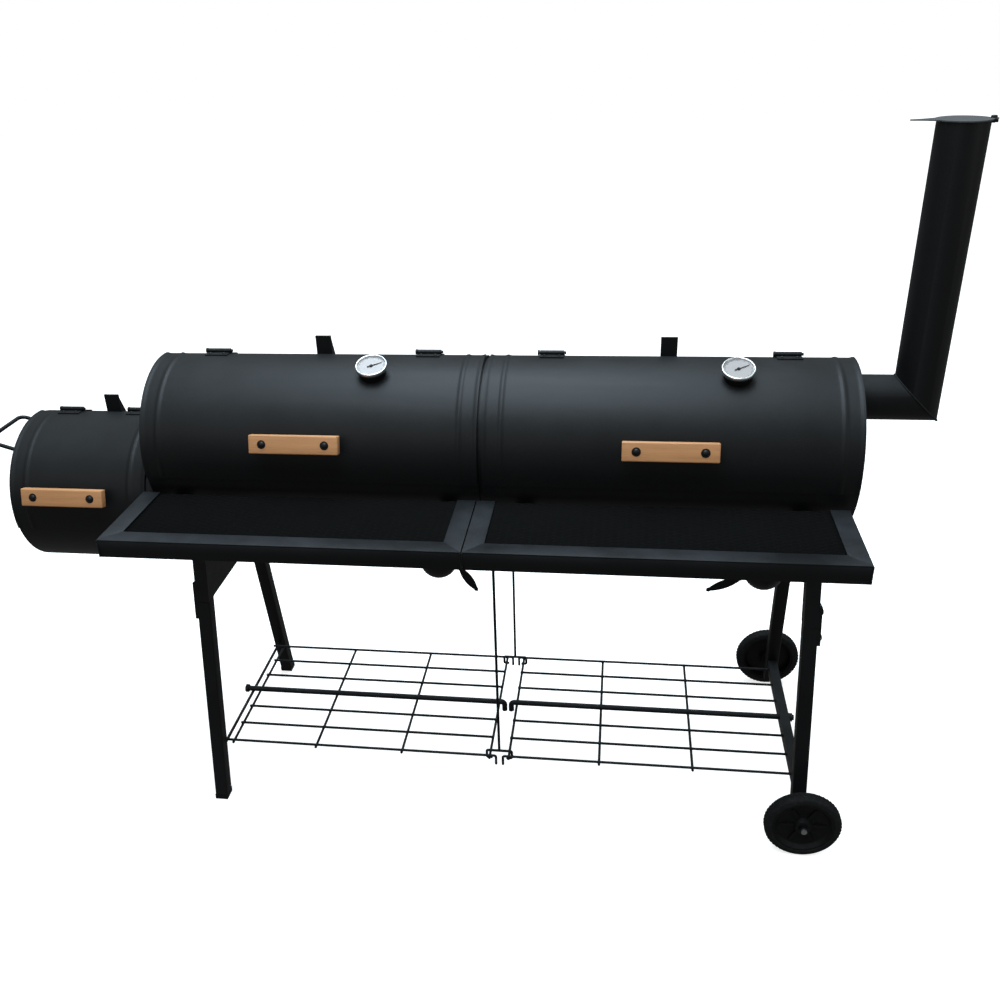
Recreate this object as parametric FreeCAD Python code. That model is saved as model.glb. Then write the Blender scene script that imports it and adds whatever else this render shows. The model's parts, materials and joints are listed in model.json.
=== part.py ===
import FreeCAD, Part
import math
import os
from FreeCAD import Vector

# Offset smoker: a firebox barrel, two cooking barrels end to end, an elbow chimney,
# two front shelves and a splayed stand with two wheels. Millimetres, +X along the
# barrels towards the chimney, -Y towards the user, +Z up, floor at Z = 0.
# The parts are laid out from the left end of the left cooking barrel and moved at the
# end, so that the origin is on the floor under the middle of the whole footprint.

X_AXIS = Vector(1, 0, 0)
Y_AXIS = Vector(0, 1, 0)
Z_AXIS = Vector(0, 0, 1)
TOUCH = 0.05

# ---- barrels
SHEET = 2.0
LID_GAP = 0.5
CHAMBER_R = 175.0
CHAMBER_Z = 831.0
FIREBOX_R = 170.0
FIREBOX_Z = 696.0
LEFT_CHAMBER = (0.0, 708.0)
RIGHT_CHAMBER = (716.0, 1448.0)
FIREBOX = (-330.0, 0.0)
LID_LOW = -12.0
LID_HIGH = 98.6
SHELL_TOP = 100.0
SHELL_FRONT = 352.0
LID_X = {"firebox": (-329.0, -17.0), "left": (1.0, 707.0), "right": (717.0, 1447.0)}
BEAD_INSET = 38.0
BEAD_RISE = 1.8
ROLL_RISE = 1.4
SMOKE_OPENING = (90.0, 705.0, 790.0)
FIREBOX_BAND = 16.0
PASSAGE_R = 110.0

# ---- hinges
HINGE_ANGLE = 99.3
HINGE_LIFT = 5.5
KNUCKLE_R = 5.0
PIN_R = 2.95
PIN_FIT = 0.05
HINGE_LENGTH = 50.0
HINGE_PLACES = {
    "firebox": (-252.0, -88.0),
    "left": (122.0, 586.0),
    "right": (845.0, 1321.0),
}
STOP_PLACES = {"firebox": -160.0, "left": 353.0, "right": 1084.0}
STOP_WIDTH = 34.0
STOP_HEIGHT = 30.0
STOP_SETBACK = 12.0

# ---- wood hand grips
GRIP_SIZE = (185.0, 18.0, 38.0)
GRIP_ANGLE = 16.0
GRIP_STANDOFF = 17.0
GRIP_BOLTS = 65.0
GRIP_PLACES = {"firebox": -190.0, "left": 341.0, "right": 1085.0}
BOLT_R = 3.0
HOLE_R = 3.2

# ---- thermometers
DIAL_ANGLE = 68.0
DIAL_R = 33.0
COLLAR_R = 27.0
COLLAR_H = 15.0
DIAL_H = 9.0
DIAL_RECESS = 4.5
PROBE_R = 4.0
PROBE_LENGTH = 60.0
NEEDLE_REST = 62.0
THERMOMETER_PLACES = {"left": 483.0, "right": 1213.0}

# ---- chimney
PIPE_R = 45.0
PIPE_WALL = 1.5
PIPE_Z = 931.0
STACK_X = 1570.0
STACK_TOP = 1448.0
CAP_R = 48.0
CAP_THICK = 2.0
CAP_TAB = 42.0
CAP_EAR = 4.5
CAP_EAR_R = 8.5

# ---- front shelves
SHELF_Z = 760.0
SHELF_FRONT = -385.0
SHELF_REAR = -168.0
ANGLE_LEG = 38.0
ANGLE_WALL = 3.0
SHELVES = {"left": (-15.0, 702.0), "right": (704.0, 1435.0)}
MESH_LONG = 30.0
MESH_SHORT = 14.0
MESH_STRAND = 2.6
MESH_THICK = 2.0
MESH_MARGIN = 12.0
BRACKET_X = (60.0, 640.0, 800.0, 1350.0)

# ---- stand
LEG = 30.0
LEG_WALL = 2.0
LEG_FOOT_Y = 256.5
LEG_SLOPE = 0.187
LEG_X = {"left": 77.0, "right": 1398.0}
RIGHT_LEAN = 1.1
FOOT_CAP = 12.0
SADDLE_LOW_Z = {"left": 476.0, "right": 548.0}
SADDLE_THICK = 4.0
SPLICE = (26.0, 86.0, 6.0)
SPLICE_Z = 492.0
SPLICE_BOLT = 28.0
LEFT_BAR_X = 77.0
LEFT_BAR_R = 3.5
LEFT_BAR_Z = 110.2
RIGHT_BAR_X = 1396.0
RIGHT_BAR = 22.0
RIGHT_BAR_TOP = 130.0
WHEEL_R = 80.0
WHEEL_WIDTH = 28.0
WHEEL_OUTER_Y = 322.0
RIM_R = 64.0
AXLE_R = 6.0
AXLE_FIT = 0.08
AXLE_END_Y = 334.0
TREAD_GROOVES = 30

# ---- wire bottom shelves
WIRE_R = 3.0
WIRE_Z = 117.0
WIRE_PITCH = 65.0
WIRE_HALVES = {"left": (96.0, 713.0), "right": (757.0, 1384.9)}
EDGE_WIRE_START = 70.0
CROSS_WIRES = {"left": (96.0, 299.0, 506.0, 713.0), "right": (757.0, 964.0, 1173.0)}
CENTRE_BAR_R = 6.5
CENTRE_BARS = {"left": (60.0, 727.0), "right": (1419.0, 743.5)}
CENTRE_NUTS = {"left": (61.0, 68.0), "right": (1407.5, 1415.0)}
END_DROP = 24.0
HANGER_X = 735.0
HANGER_Y = 186.0
FRONT_LUG_Z = 698.0
REAR_LUG_Z = 787.0

# ---- drip cups
CUP_PLACES = {"left": (584.0, 1.0), "right": (1313.0, -1.0)}
CUP_R = 44.0
CUP_TOP_Z = 540.0
CUP_DEPTH = 62.0
CUP_ARM = 64.0
CUP_TABS = {"left": (88.0, 101.0), "right": (122.0, 76.0)}
TAB_STEM = 42.0
TAB_HALF_WIDTH = 9.5

# ---- things inside
GRATE_Z = 800.0
GRATE_HALF_WIDTH = 150.0
GRATE_PITCH = 22.0
COAL_GRATE_Z = 600.0

# ---- firebox fittings
LIFT_REACH = 87.0
LIFT_WIRE_R = 4.5
DAMPER_Z = 636.0
DAMPER_R = 48.0
AIR_HOLE_R = 12.0
AIR_HOLE_RING = 28.0

nodes = {}


def box(low, high):
    size = Vector(*high) - Vector(*low)
    return Part.makeBox(size.x, size.y, size.z, Vector(*low))


def rod(start, end, radius):
    start = Vector(*start)
    along = Vector(*end) - start
    return Part.makeCylinder(radius, along.Length, start, along)


def tube(start, end, radius, bore):
    return rod(start, end, radius).cut(rod(start, end, bore))


def bent_rod(points, radius, bend):
    """A round rod along the points, with its corners rounded to the bend radius."""
    corners = [Vector(*point) for point in points]
    edges = []
    start = corners[0]
    for before, corner, after in zip(corners, corners[1:], corners[2:]):
        into = (before - corner).normalize()
        out = (after - corner).normalize()
        half = into.getAngle(out) / 2
        reach = bend / math.tan(half)
        centre_way = (into + out).normalize()
        middle = corner + centre_way * (bend / math.sin(half) - bend)
        edges.append(Part.makeLine(start, corner + into * reach))
        edges.append(Part.Arc(corner + into * reach, middle, corner + out * reach).toShape())
        start = corner + out * reach
    edges.append(Part.makeLine(start, corners[-1]))
    path = Part.Wire(edges)
    along = corners[1] - corners[0]
    ring = Part.Wire([Part.makeCircle(radius, corners[0], along)])
    return path.makePipeShell([ring], True, False)


def prism(points, along):
    face = Part.Face(Part.makePolygon([Vector(*p) for p in points + points[:1]]))
    return face.extrude(Vector(*along))


def group(solids):
    return Part.makeCompound(solids)


def at_angle(shape, angle, axis_z):
    """Turns what was built at the front of a barrel, at angle 0, up to the angle."""
    turned = shape.copy()
    turned.rotate(Vector(0, 0, 0), X_AXIS, -angle)
    turned.translate(Vector(0, 0, axis_z))
    return turned


def sector(profile, low, high, axis_z):
    """Turns an (x, radius) profile about the barrel's axis between two angles."""
    outline = [Vector(x, 0, r) for x, r in profile]
    face = Part.Face(Part.makePolygon(outline + outline[:1]))
    face.rotate(Vector(0, 0, 0), X_AXIS, 90 - high)
    solid = face.revolve(Vector(0, 0, 0), X_AXIS, high - low)
    solid.translate(Vector(0, 0, axis_z))
    return solid


def strip(x_range, r_range, low, high, axis_z):
    (x0, x1), (r0, r1) = x_range, r_range
    return sector([(x0, r0), (x1, r0), (x1, r1), (x0, r1)], low, high, axis_z)


def on_barrel(angle, radius, axis_z):
    turn = math.radians(angle)
    return -radius * math.cos(turn), axis_z + radius * math.sin(turn)


# ---- barrels and lids

BARRELS = {
    "firebox": (FIREBOX, FIREBOX_R, FIREBOX_Z),
    "left": (LEFT_CHAMBER, CHAMBER_R, CHAMBER_Z),
    "right": (RIGHT_CHAMBER, CHAMBER_R, CHAMBER_Z),
}
NODE_NAMES = {"firebox": "firebox", "left": "left_chamber", "right": "right_chamber"}


def lid_profile(x0, x1, radius):
    """Outer line with rolled ends and two beads, then the same line one sheet lower."""
    outer = [(x0, ROLL_RISE), (x0 + 6, ROLL_RISE), (x0 + 8, 0)]
    for centre in (x0 + BEAD_INSET, x1 - BEAD_INSET):
        outer += [(centre - 5, 0), (centre - 2, BEAD_RISE), (centre + 2, BEAD_RISE), (centre + 5, 0)]
    outer += [(x1 - 8, 0), (x1 - 6, ROLL_RISE), (x1, ROLL_RISE)]
    line = [(x, radius + rise) for x, rise in outer]
    return line + [(x, r - SHEET) for x, r in reversed(line)]


def make_barrel(name):
    (x0, x1), radius, axis_z = BARRELS[name]
    outside = radius - SHEET - LID_GAP
    shell = strip((x0 + SHEET, x1 - SHEET), (outside - SHEET, outside), SHELL_TOP, SHELL_FRONT, axis_z)
    if name == "firebox":
        band = strip((x1 - FIREBOX_BAND, x1 - SHEET), (outside - SHEET, outside), -9, SHELL_TOP + 1, axis_z)
        shell = shell.fuse(band).removeSplitter()
    ends = []
    for x in (x0, x1 - SHEET):
        ends.append(rod((x, 0, axis_z), (x + SHEET, 0, axis_z), outside))
    return shell, ends


def smoke_opening(x0, x1):
    half, low, high = SMOKE_OPENING
    return box((x0, -half, low), (x1, half, high))


def air_holes(first_turn):
    holes = []
    for turn in range(first_turn, 360, 120):
        y = AIR_HOLE_RING * math.cos(math.radians(turn))
        z = DAMPER_Z + AIR_HOLE_RING * math.sin(math.radians(turn))
        holes.append(rod((FIREBOX[0] - 5, y, z), (FIREBOX[0] + 5, y, z), AIR_HOLE_R))
    return holes


def bolt_holes(x, places):
    return [rod((x - 20, y, z), (x + 20, y, z), HOLE_R) for y, z in places]


def make_barrels():
    passages = {
        "firebox": (air_holes(90) + bolt_holes(FIREBOX[0], [(0, DAMPER_Z)]),
                    [smoke_opening(-5, 5)] + bolt_holes(0, firebox_bolt_places())),
        "left": ([smoke_opening(-5, 5)] + bolt_holes(0, firebox_bolt_places()),
                 [passage(LEFT_CHAMBER[1])] + bolt_holes(LEFT_CHAMBER[1], joint_bolt_places())),
        "right": ([passage(RIGHT_CHAMBER[0])] + bolt_holes(RIGHT_CHAMBER[0], joint_bolt_places()), [flue()]),
    }
    for name, (left_cuts, right_cuts) in passages.items():
        shell, ends = make_barrel(name)
        if name in CUP_PLACES:
            shell = shell.cut(drain_hole(name))
        nodes[NODE_NAMES[name] + "_shell"] = shell
        nodes[NODE_NAMES[name] + "_ends"] = group([ends[0].cut(left_cuts), ends[1].cut(right_cuts)])
    ring = tube((LEFT_CHAMBER[1], 0, CHAMBER_Z), (RIGHT_CHAMBER[0], 0, CHAMBER_Z),
                CHAMBER_R - 8, PASSAGE_R + 4)
    nodes["chamber_joint_ring"] = ring.cut(bolt_holes(RIGHT_CHAMBER[0], joint_bolt_places()))


def passage(x):
    return rod((x - 5, 0, CHAMBER_Z), (x + 5, 0, CHAMBER_Z), PASSAGE_R)


def flue():
    x = RIGHT_CHAMBER[1]
    return rod((x - 5, 0, PIPE_Z), (x + 5, 0, PIPE_Z), PIPE_R - PIPE_WALL)


def drain_hole(name):
    x = CUP_PLACES[name][0]
    return rod((x, 0, CHAMBER_Z - CHAMBER_R - 5), (x, 0, CHAMBER_Z - CHAMBER_R + 12), 8)


def grip_bolt_axes(name):
    centre = GRIP_PLACES[name]
    return (centre - GRIP_BOLTS, centre + GRIP_BOLTS)


def make_lid(name):
    _, radius, axis_z = BARRELS[name]
    lid = sector(lid_profile(*LID_X[name], radius), LID_LOW, LID_HIGH, axis_z)
    holes = []
    for x in grip_bolt_axes(name):
        hole = rod((x, -radius - 10, 0), (x, -radius + 20, 0), HOLE_R)
        holes.append(at_angle(hole, GRIP_ANGLE, axis_z))
    if name in THERMOMETER_PLACES:
        x = THERMOMETER_PLACES[name]
        hole = rod((x, -radius - 10, 0), (x, -radius + 20, 0), PROBE_R + 0.3)
        holes.append(at_angle(hole, DIAL_ANGLE, axis_z))
    return lid.cut(holes).fuse(lid_leaves(name)).removeSplitter()


def make_grip(name):
    """Wood block with rounded edges and two sunk bolt seats, bored for its bolts."""
    _, radius, axis_z = BARRELS[name]
    length, depth, height = GRIP_SIZE
    centre = GRIP_PLACES[name]
    back = -(radius + GRIP_STANDOFF)
    block = box((centre - length / 2, back - depth, -height / 2), (centre + length / 2, back, height / 2))
    block = block.makeFillet(2.5, block.Edges)
    for x in grip_bolt_axes(name):
        block = block.cut(rod((x, back - depth - 1, 0), (x, back - depth + 4, 0), 8.5))
        block = block.cut(rod((x, back - depth - 1, 0), (x, back + 1, 0), HOLE_R))
    return at_angle(block, GRIP_ANGLE, axis_z)


def make_grip_bolts(name):
    """Two bolts, the spacers between grip and lid, and the nuts inside the lid."""
    _, radius, axis_z = BARRELS[name]
    back = -(radius + GRIP_STANDOFF)
    seat = back - GRIP_SIZE[1] + 4
    inside = -(radius - SHEET)
    solids = []
    for x in grip_bolt_axes(name):
        ball = Part.makeSphere(8, Vector(x, seat + 4.5, 0))
        head = ball.common(box((x - 8, seat - 6, -8), (x + 8, seat, 8)))
        shank = rod((x, seat, 0), (x, inside + 7, 0), BOLT_R)
        solids.append(at_angle(head.fuse(shank), GRIP_ANGLE, axis_z))
        spacer = tube((x, back, 0), (x, -radius - TOUCH, 0), 6.5, HOLE_R)
        solids.append(at_angle(spacer, GRIP_ANGLE, axis_z))
        nut = tube((x, inside + 0.2, 0), (x, inside + 5.2, 0), 5.5, BOLT_R)
        solids.append(at_angle(nut, GRIP_ANGLE, axis_z))
    return group(solids)


def make_thermometer(name):
    """Collar that sits on the lid, dial case with a sunk face, and the probe below."""
    _, radius, axis_z = BARRELS[name]
    x = THERMOMETER_PLACES[name]
    top = radius + COLLAR_H
    collar = rod((x, -radius + 6, 0), (x, -top, 0), COLLAR_R)
    collar = collar.cut(rod((x - 60, 0, 0), (x + 60, 0, 0), radius + TOUCH))
    case = rod((x, -top, 0), (x, -top - DIAL_H, 0), DIAL_R)
    recess = rod((x, -top - DIAL_H + DIAL_RECESS, 0), (x, -top - DIAL_H - 1, 0), DIAL_R - 4)
    probe = rod((x, -radius + PROBE_LENGTH, 0), (x, -top, 0), PROBE_R)
    pivot = rod((x, -top - DIAL_H + DIAL_RECESS, 0), (x, -top - DIAL_H + 2.2, 0), 1.2)
    return at_angle(case.cut(recess).fuse([collar, probe, pivot]), DIAL_ANGLE, axis_z)


def make_needle(name):
    """Pointer on the dial's pivot, at rest up and to the right."""
    _, radius, axis_z = BARRELS[name]
    x = THERMOMETER_PLACES[name]
    face = -(radius + COLLAR_H + DIAL_H - DIAL_RECESS)
    hub = tube((x, face - 1.0, 0), (x, face - 2.2, 0), 3.4, 1.25)
    blade = prism([(x - 1.1, face - 1.0, 2.8), (x + 1.1, face - 1.0, 2.8),
                   (x + 0.4, face - 1.0, 25), (x - 0.4, face - 1.0, 25)], (0, -1.0, 0))
    tail = box((x - 1.0, face - 2.0, -9), (x + 1.0, face - 1.0, -2.8))
    needle = hub.fuse([blade, tail])
    needle.rotate(Vector(x, 0, 0), Y_AXIS, NEEDLE_REST)
    return at_angle(needle, DIAL_ANGLE, axis_z)


def hinge_centre(name):
    _, radius, axis_z = BARRELS[name]
    return on_barrel(HINGE_ANGLE, radius + HINGE_LIFT, axis_z)


def knuckle(name, x0, x1):
    y, z = hinge_centre(name)
    return tube((x0, y, z), (x1, y, z), KNUCKLE_R, PIN_R + PIN_FIT)


def lid_leaves(name):
    """The lid's half of each hinge: a strip on the lid and the middle knuckle."""
    _, radius, axis_z = BARRELS[name]
    y, z = hinge_centre(name)
    bore = rod((FIREBOX[0], y, z), (RIGHT_CHAMBER[1], y, z), PIN_R + PIN_FIT)
    leaves = []
    for x in HINGE_PLACES[name]:
        low, high = x - HINGE_LENGTH / 2, x + HINGE_LENGTH / 2
        middle = (x - 8.3, x + 8.3)
        plate = strip((low, high), (radius - 0.2, radius + 2.5), 91, 97, axis_z)
        web = strip(middle, (radius + 0.1, radius + 2.5), 96.5, HINGE_ANGLE, axis_z)
        leaves.append(plate.fuse([web.cut(bore), knuckle(name, *middle)]))
    return leaves


def body_leaves(name):
    """The barrel's half of each hinge: a strip behind the lid and two outer knuckles."""
    _, radius, axis_z = BARRELS[name]
    y, z = hinge_centre(name)
    bore = rod((FIREBOX[0], y, z), (RIGHT_CHAMBER[1], y, z), PIN_R + PIN_FIT)
    skin = radius - SHEET - LID_GAP
    leaves = []
    for x in HINGE_PLACES[name]:
        low, high = x - HINGE_LENGTH / 2, x + HINGE_LENGTH / 2
        leaf = strip((low, high), (skin, skin + 2.4), 100.6, 112, axis_z)
        for side in ((low, x - 8.7), (x + 8.7, high)):
            web = strip(side, (skin + 0.4, radius + 3), 99.8, 101.5, axis_z)
            leaf = leaf.fuse([web.cut(bore), knuckle(name, *side)])
        leaves.append(leaf)
    return leaves


def hinge_pins(name):
    y, z = hinge_centre(name)
    pins = []
    for x in HINGE_PLACES[name]:
        low, high = x - HINGE_LENGTH / 2, x + HINGE_LENGTH / 2
        pin = rod((low - 1, y, z), (high + 4, y, z), PIN_R)
        head = rod((low - 5, y, z), (low - 1, y, z), 5.5)
        pins.append(pin.fuse(head))
    return pins


def lid_stop(name):
    """Upright tab behind the hinges, with a foot on the barrel and a side gusset."""
    _, radius, axis_z = BARRELS[name]
    x = STOP_PLACES[name]
    skin = radius - SHEET - LID_GAP
    hinge_y, hinge_z = hinge_centre(name)
    y = hinge_y + STOP_SETBACK
    top = hinge_z + STOP_HEIGHT
    low, high = x - STOP_WIDTH / 2, x + STOP_WIDTH / 2
    barrel = rod((low - 5, 0, axis_z), (high + 5, 0, axis_z), skin)
    tab = box((low, y, axis_z + skin - 25), (high, y + 4, top))
    gusset = prism([(high - 4, y, axis_z + skin - 40), (high - 4, y + 30, axis_z + skin - 40),
                    (high - 4, y + 22, axis_z + skin - 10), (high - 4, y + 4, top - 8)], (4, 0, 0))
    return tab.fuse(gusset).cut(barrel)


def make_lids_and_hinges():
    leaves, pins, stops = [], [], []
    for name in BARRELS:
        nodes[name + "_lid"] = make_lid(name)
        nodes[name + "_grip"] = make_grip(name)
        nodes[name + "_grip_bolts"] = make_grip_bolts(name)
        leaves += body_leaves(name)
        pins += hinge_pins(name)
        stops.append(lid_stop(name))
    for name in THERMOMETER_PLACES:
        nodes[name + "_thermometer"] = make_thermometer(name)
        nodes[name + "_needle"] = make_needle(name)
    nodes["hinge_body_leaves"] = group(leaves)
    nodes["hinge_pins"] = group(pins)
    nodes["lid_stops"] = group(stops)


# ---- firebox fittings

def make_lift_handle():
    """Bent wire at the firebox's outer end, rising a little outwards."""
    x0 = FIREBOX[0]
    x1 = x0 - LIFT_REACH
    points = [(x0 + 4, 75, 802), (x1, 75, 830), (x1, -75, 830), (x0 + 4, -75, 802)]
    wire = bent_rod(points, LIFT_WIRE_R, 16)
    pads = [box((x0 - 3, y - 14, 789), (x0, y + 14, 817)) for y in (75, -75)]
    inside = box((x0, -120, 700), (x0 + 30, 120, 900))
    return wire.fuse(pads).cut(inside)


def make_air_damper():
    """Disc with three holes that turns over the holes in the firebox's end."""
    x = FIREBOX[0] - 0.3
    disc = tube((x, 0, DAMPER_Z), (x - SHEET, 0, DAMPER_Z), DAMPER_R, BOLT_R + TOUCH)
    tab = box((x - 20, -9, DAMPER_Z + DAMPER_R - 8), (x - SHEET / 2, 9, DAMPER_Z + DAMPER_R - 5.5))
    return disc.cut(air_holes(30)).fuse(tab)


# ---- chimney

def elbow(radius):
    """Solid pipe run: flat out of the barrel, mitred, then upright to the top."""
    reach = 700.0
    flat = rod((RIGHT_CHAMBER[1], 0, PIPE_Z), (STACK_X + 2 * radius, 0, PIPE_Z), radius)
    upright = rod((STACK_X, 0, PIPE_Z - 2 * radius), (STACK_X, 0, STACK_TOP), radius)
    high_left = (STACK_X - reach, -reach, PIPE_Z + reach)
    low_right = (STACK_X + reach, -reach, PIPE_Z - reach)
    beyond = prism([high_left, low_right, (STACK_X + reach, -reach, PIPE_Z + reach)], (0, 2 * reach, 0))
    before = prism([high_left, low_right, (STACK_X - reach, -reach, PIPE_Z - reach)], (0, 2 * reach, 0))
    return flat.cut(beyond).fuse(upright.cut(before)).removeSplitter()


def cap_pivot(z):
    return (STACK_X + PIPE_R + CAP_EAR, 0, z)


def make_chimney():
    x0 = RIGHT_CHAMBER[1]
    nodes["chimney_pipe"] = elbow(PIPE_R).cut(elbow(PIPE_R - PIPE_WALL))
    flange = tube((x0, 0, PIPE_Z), (x0 + 3, 0, PIPE_Z), PIPE_R + 12, PIPE_R + TOUCH)
    lug = box((STACK_X + PIPE_R - 3, -7, STACK_TOP - 5), (cap_pivot(0)[0] + 6, 7, STACK_TOP - 0.3))
    stack = rod((STACK_X, 0, STACK_TOP - 40), (STACK_X, 0, STACK_TOP), PIPE_R)
    bore = rod(cap_pivot(STACK_TOP - 40), cap_pivot(STACK_TOP), HOLE_R)
    nodes["chimney_fittings"] = group([flange, lug.cut([stack, bore])])
    nodes["chimney_cap"] = make_cap()


def make_cap():
    """Round plate with a pivot ear on the right and a leaf-shaped tab on the left."""
    low = STACK_TOP + 0.3
    top = low + CAP_THICK
    plate = rod((STACK_X, 0, low), (STACK_X, 0, top), CAP_R)
    ear = rod(cap_pivot(low), cap_pivot(top), CAP_EAR_R)
    bridge = box((STACK_X + 20, -CAP_EAR_R, low), (cap_pivot(0)[0], CAP_EAR_R, top))
    left = STACK_X - CAP_R
    tab = prism([(left + 20, -26, low), (left + 20, 26, low), (left - 18, 10, low),
                 (left - CAP_TAB, 3, low), (left - CAP_TAB, -3, low), (left - 18, -10, low)],
                (0, 0, CAP_THICK))
    cap = plate.fuse([ear, bridge, tab]).removeSplitter()
    return cap.cut(rod(cap_pivot(low - 1), cap_pivot(top + 1), BOLT_R + TOUCH))


# ---- front shelves

def make_shelf_frame(name):
    """Front rail and two side rails of angle iron, and a flat rail along the barrel."""
    x0, x1 = SHELVES[name]
    low, under = SHELF_Z - ANGLE_LEG, SHELF_Z - ANGLE_WALL
    inner = SHELF_FRONT + ANGLE_LEG
    skirt = box((x0, SHELF_FRONT, low), (x1, SHELF_FRONT + ANGLE_WALL, under))
    rails = [box((x0, SHELF_FRONT, under), (x1, inner, SHELF_Z)).fuse(skirt)]
    for edge, way in ((x0, 1), (x1, -1)):
        near, far = sorted((edge, edge + way * ANGLE_LEG))
        thin, thick = sorted((edge, edge + way * ANGLE_WALL))
        skirt = box((thin, SHELF_FRONT + ANGLE_WALL, low), (thick, SHELF_REAR, under))
        rails.append(box((near, inner, under), (far, SHELF_REAR, SHELF_Z)).fuse(skirt))
    rails.append(box((x0 + ANGLE_WALL, SHELF_REAR - ANGLE_WALL, low),
                     (x1 - ANGLE_WALL, SHELF_REAR, under - MESH_THICK)))
    return group(rails)


def make_mesh(name):
    """Flattened expanded metal: staggered diamond holes in a thin sheet."""
    x0, x1 = SHELVES[name][0] + ANGLE_WALL + 1, SHELVES[name][1] - ANGLE_WALL - 1
    y0, y1 = SHELF_FRONT + ANGLE_WALL + 1, SHELF_REAR - 0.5
    top = SHELF_Z - ANGLE_WALL
    half_long = MESH_LONG / 2 - MESH_STRAND
    half_short = MESH_SHORT / 2 - MESH_STRAND / 2
    columns = int((x1 - x0 - 2 * MESH_MARGIN) / (MESH_LONG / 2))
    rows = int((y1 - y0 - 2 * MESH_MARGIN) / MESH_SHORT)
    outline = [(x0, y0), (x1, y0), (x1, y1), (x0, y1)]
    wires = [flat_polygon(outline, top)]
    for column in range(1, columns):
        for row in range(rows - column % 2):
            x = x0 + MESH_MARGIN + column * MESH_LONG / 2
            y = y0 + MESH_MARGIN + (row + 0.5 + 0.5 * (column % 2)) * MESH_SHORT
            diamond = [(x - half_long, y), (x, y - half_short), (x + half_long, y), (x, y + half_short)]
            wires.append(flat_polygon(diamond, top))
    sheet = Part.Face(wires)
    sheet.validate()
    return sheet.extrude(Vector(0, 0, -MESH_THICK))


def flat_polygon(corners, z):
    points = [Vector(x, y, z) for x, y in corners]
    return Part.makePolygon(points + points[:1])


def make_shelf_brackets():
    """Short angle pieces from the shelves to the barrels, and the hanger rods' lugs."""
    skin = CHAMBER_R - SHEET - LID_GAP
    barrel = rod((-50, 0, CHAMBER_Z), (1500, 0, CHAMBER_Z), skin)
    low = SHELF_Z - ANGLE_LEG
    solids = []
    for x in BRACKET_X:
        foot = box((x - 18, SHELF_REAR, low + 4), (x + 18, -120, low + 8))
        back = box((x - 18, SHELF_REAR, low + 8), (x + 18, SHELF_REAR + 3, low + 30))
        solids.append(foot.fuse(back).cut(barrel))
    shelf = box((HANGER_X - 8, -HANGER_Y - 8, FRONT_LUG_Z), (HANGER_X + 8, SHELF_REAR, FRONT_LUG_Z + 4))
    tie = box((HANGER_X - 8, SHELF_REAR - 3, FRONT_LUG_Z), (HANGER_X + 8, SHELF_REAR, low))
    rear = box((HANGER_X - 8, 120, REAR_LUG_Z), (HANGER_X + 8, HANGER_Y + 8, REAR_LUG_Z + 4))
    for lug, side in ((shelf.fuse(tie), -1), (rear.cut(barrel), 1)):
        hole = rod((HANGER_X, side * HANGER_Y, 600), (HANGER_X, side * HANGER_Y, 900), WIRE_R + TOUCH)
        solids.append(lug.cut(hole))
    return solids


def make_shelves():
    for name in SHELVES:
        nodes[name + "_shelf_frame"] = make_shelf_frame(name)
        nodes[name + "_shelf_mesh"] = make_mesh(name)


# ---- stand

def leg_y(z):
    return LEG_FOOT_Y - LEG_SLOPE * z


def leg_face(z):
    """Inner face of a leg at a height, on the rear side."""
    return leg_y(z) - LEG / 2 / math.cos(math.atan(LEG_SLOPE)) - TOUCH


def leg_bar(x, side, z_range, size):
    """Solid square bar on a leg's slanted line, cut level at both ends."""
    z0, z1 = z_range
    lean = math.atan(LEG_SLOPE)
    bar = box((-size / 2, -size / 2, -40), (size / 2, size / 2, (z1 - z0) / math.cos(lean) + 40))
    bar.rotate(Vector(0, 0, 0), X_AXIS, math.degrees(lean) * side)
    bar.translate(Vector(x, side * leg_y(z0), z0))
    return bar.common(box((x - size, -400, z0), (x + size, 400, z1)))


def tip_in(name, shape):
    """Tips the right pair of legs a little towards the left pair, about the axle."""
    if name == "right":
        shape.rotate(Vector(LEG_X[name], 0, WHEEL_R), Y_AXIS, -RIGHT_LEAN)
    return shape


def leg_tube(x, side, z_range, size, wall):
    return leg_bar(x, side, z_range, size).cut(leg_bar(x, side, z_range, size - 2 * wall))


def outward(name):
    return -1 if name == "left" else 1


def splice_bolt_places(name):
    """Centres of the two bolts of each splice plate, on both legs of a pair."""
    for side in (-1, 1):
        for z in (SPLICE_Z - SPLICE_BOLT, SPLICE_Z + SPLICE_BOLT):
            yield LEG_X[name], side * leg_y(z), z


def splice_holes(name):
    way = outward(name)
    return [rod((x, y, z), (x + way * 40, y, z), HOLE_R) for x, y, z in splice_bolt_places(name)]


def make_saddle(name):
    """Two sloping leg sockets under the barrel and the plate welded between them."""
    x = LEG_X[name]
    barrel = rod((x - 60, 0, CHAMBER_Z), (x + 60, 0, CHAMBER_Z), CHAMBER_R - SHEET - LID_GAP)
    low, high = SADDLE_LOW_Z[name], CHAMBER_Z - 60
    sockets = []
    for side in (-1, 1):
        socket = leg_tube(x, side, (SPLICE_Z + 0.5, high), LEG, LEG_WALL)
        sockets.append(tip_in(name, socket.cut(splice_holes(name))).cut(barrel))
    half = SADDLE_THICK / 2
    plate = prism([(x - half, -leg_face(low), low), (x - half, leg_face(low), low),
                   (x - half, leg_face(high), high), (x - half, -leg_face(high), high)],
                  (SADDLE_THICK, 0, 0))
    return group(sockets + [tip_in(name, plate).cut(barrel)])


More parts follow.
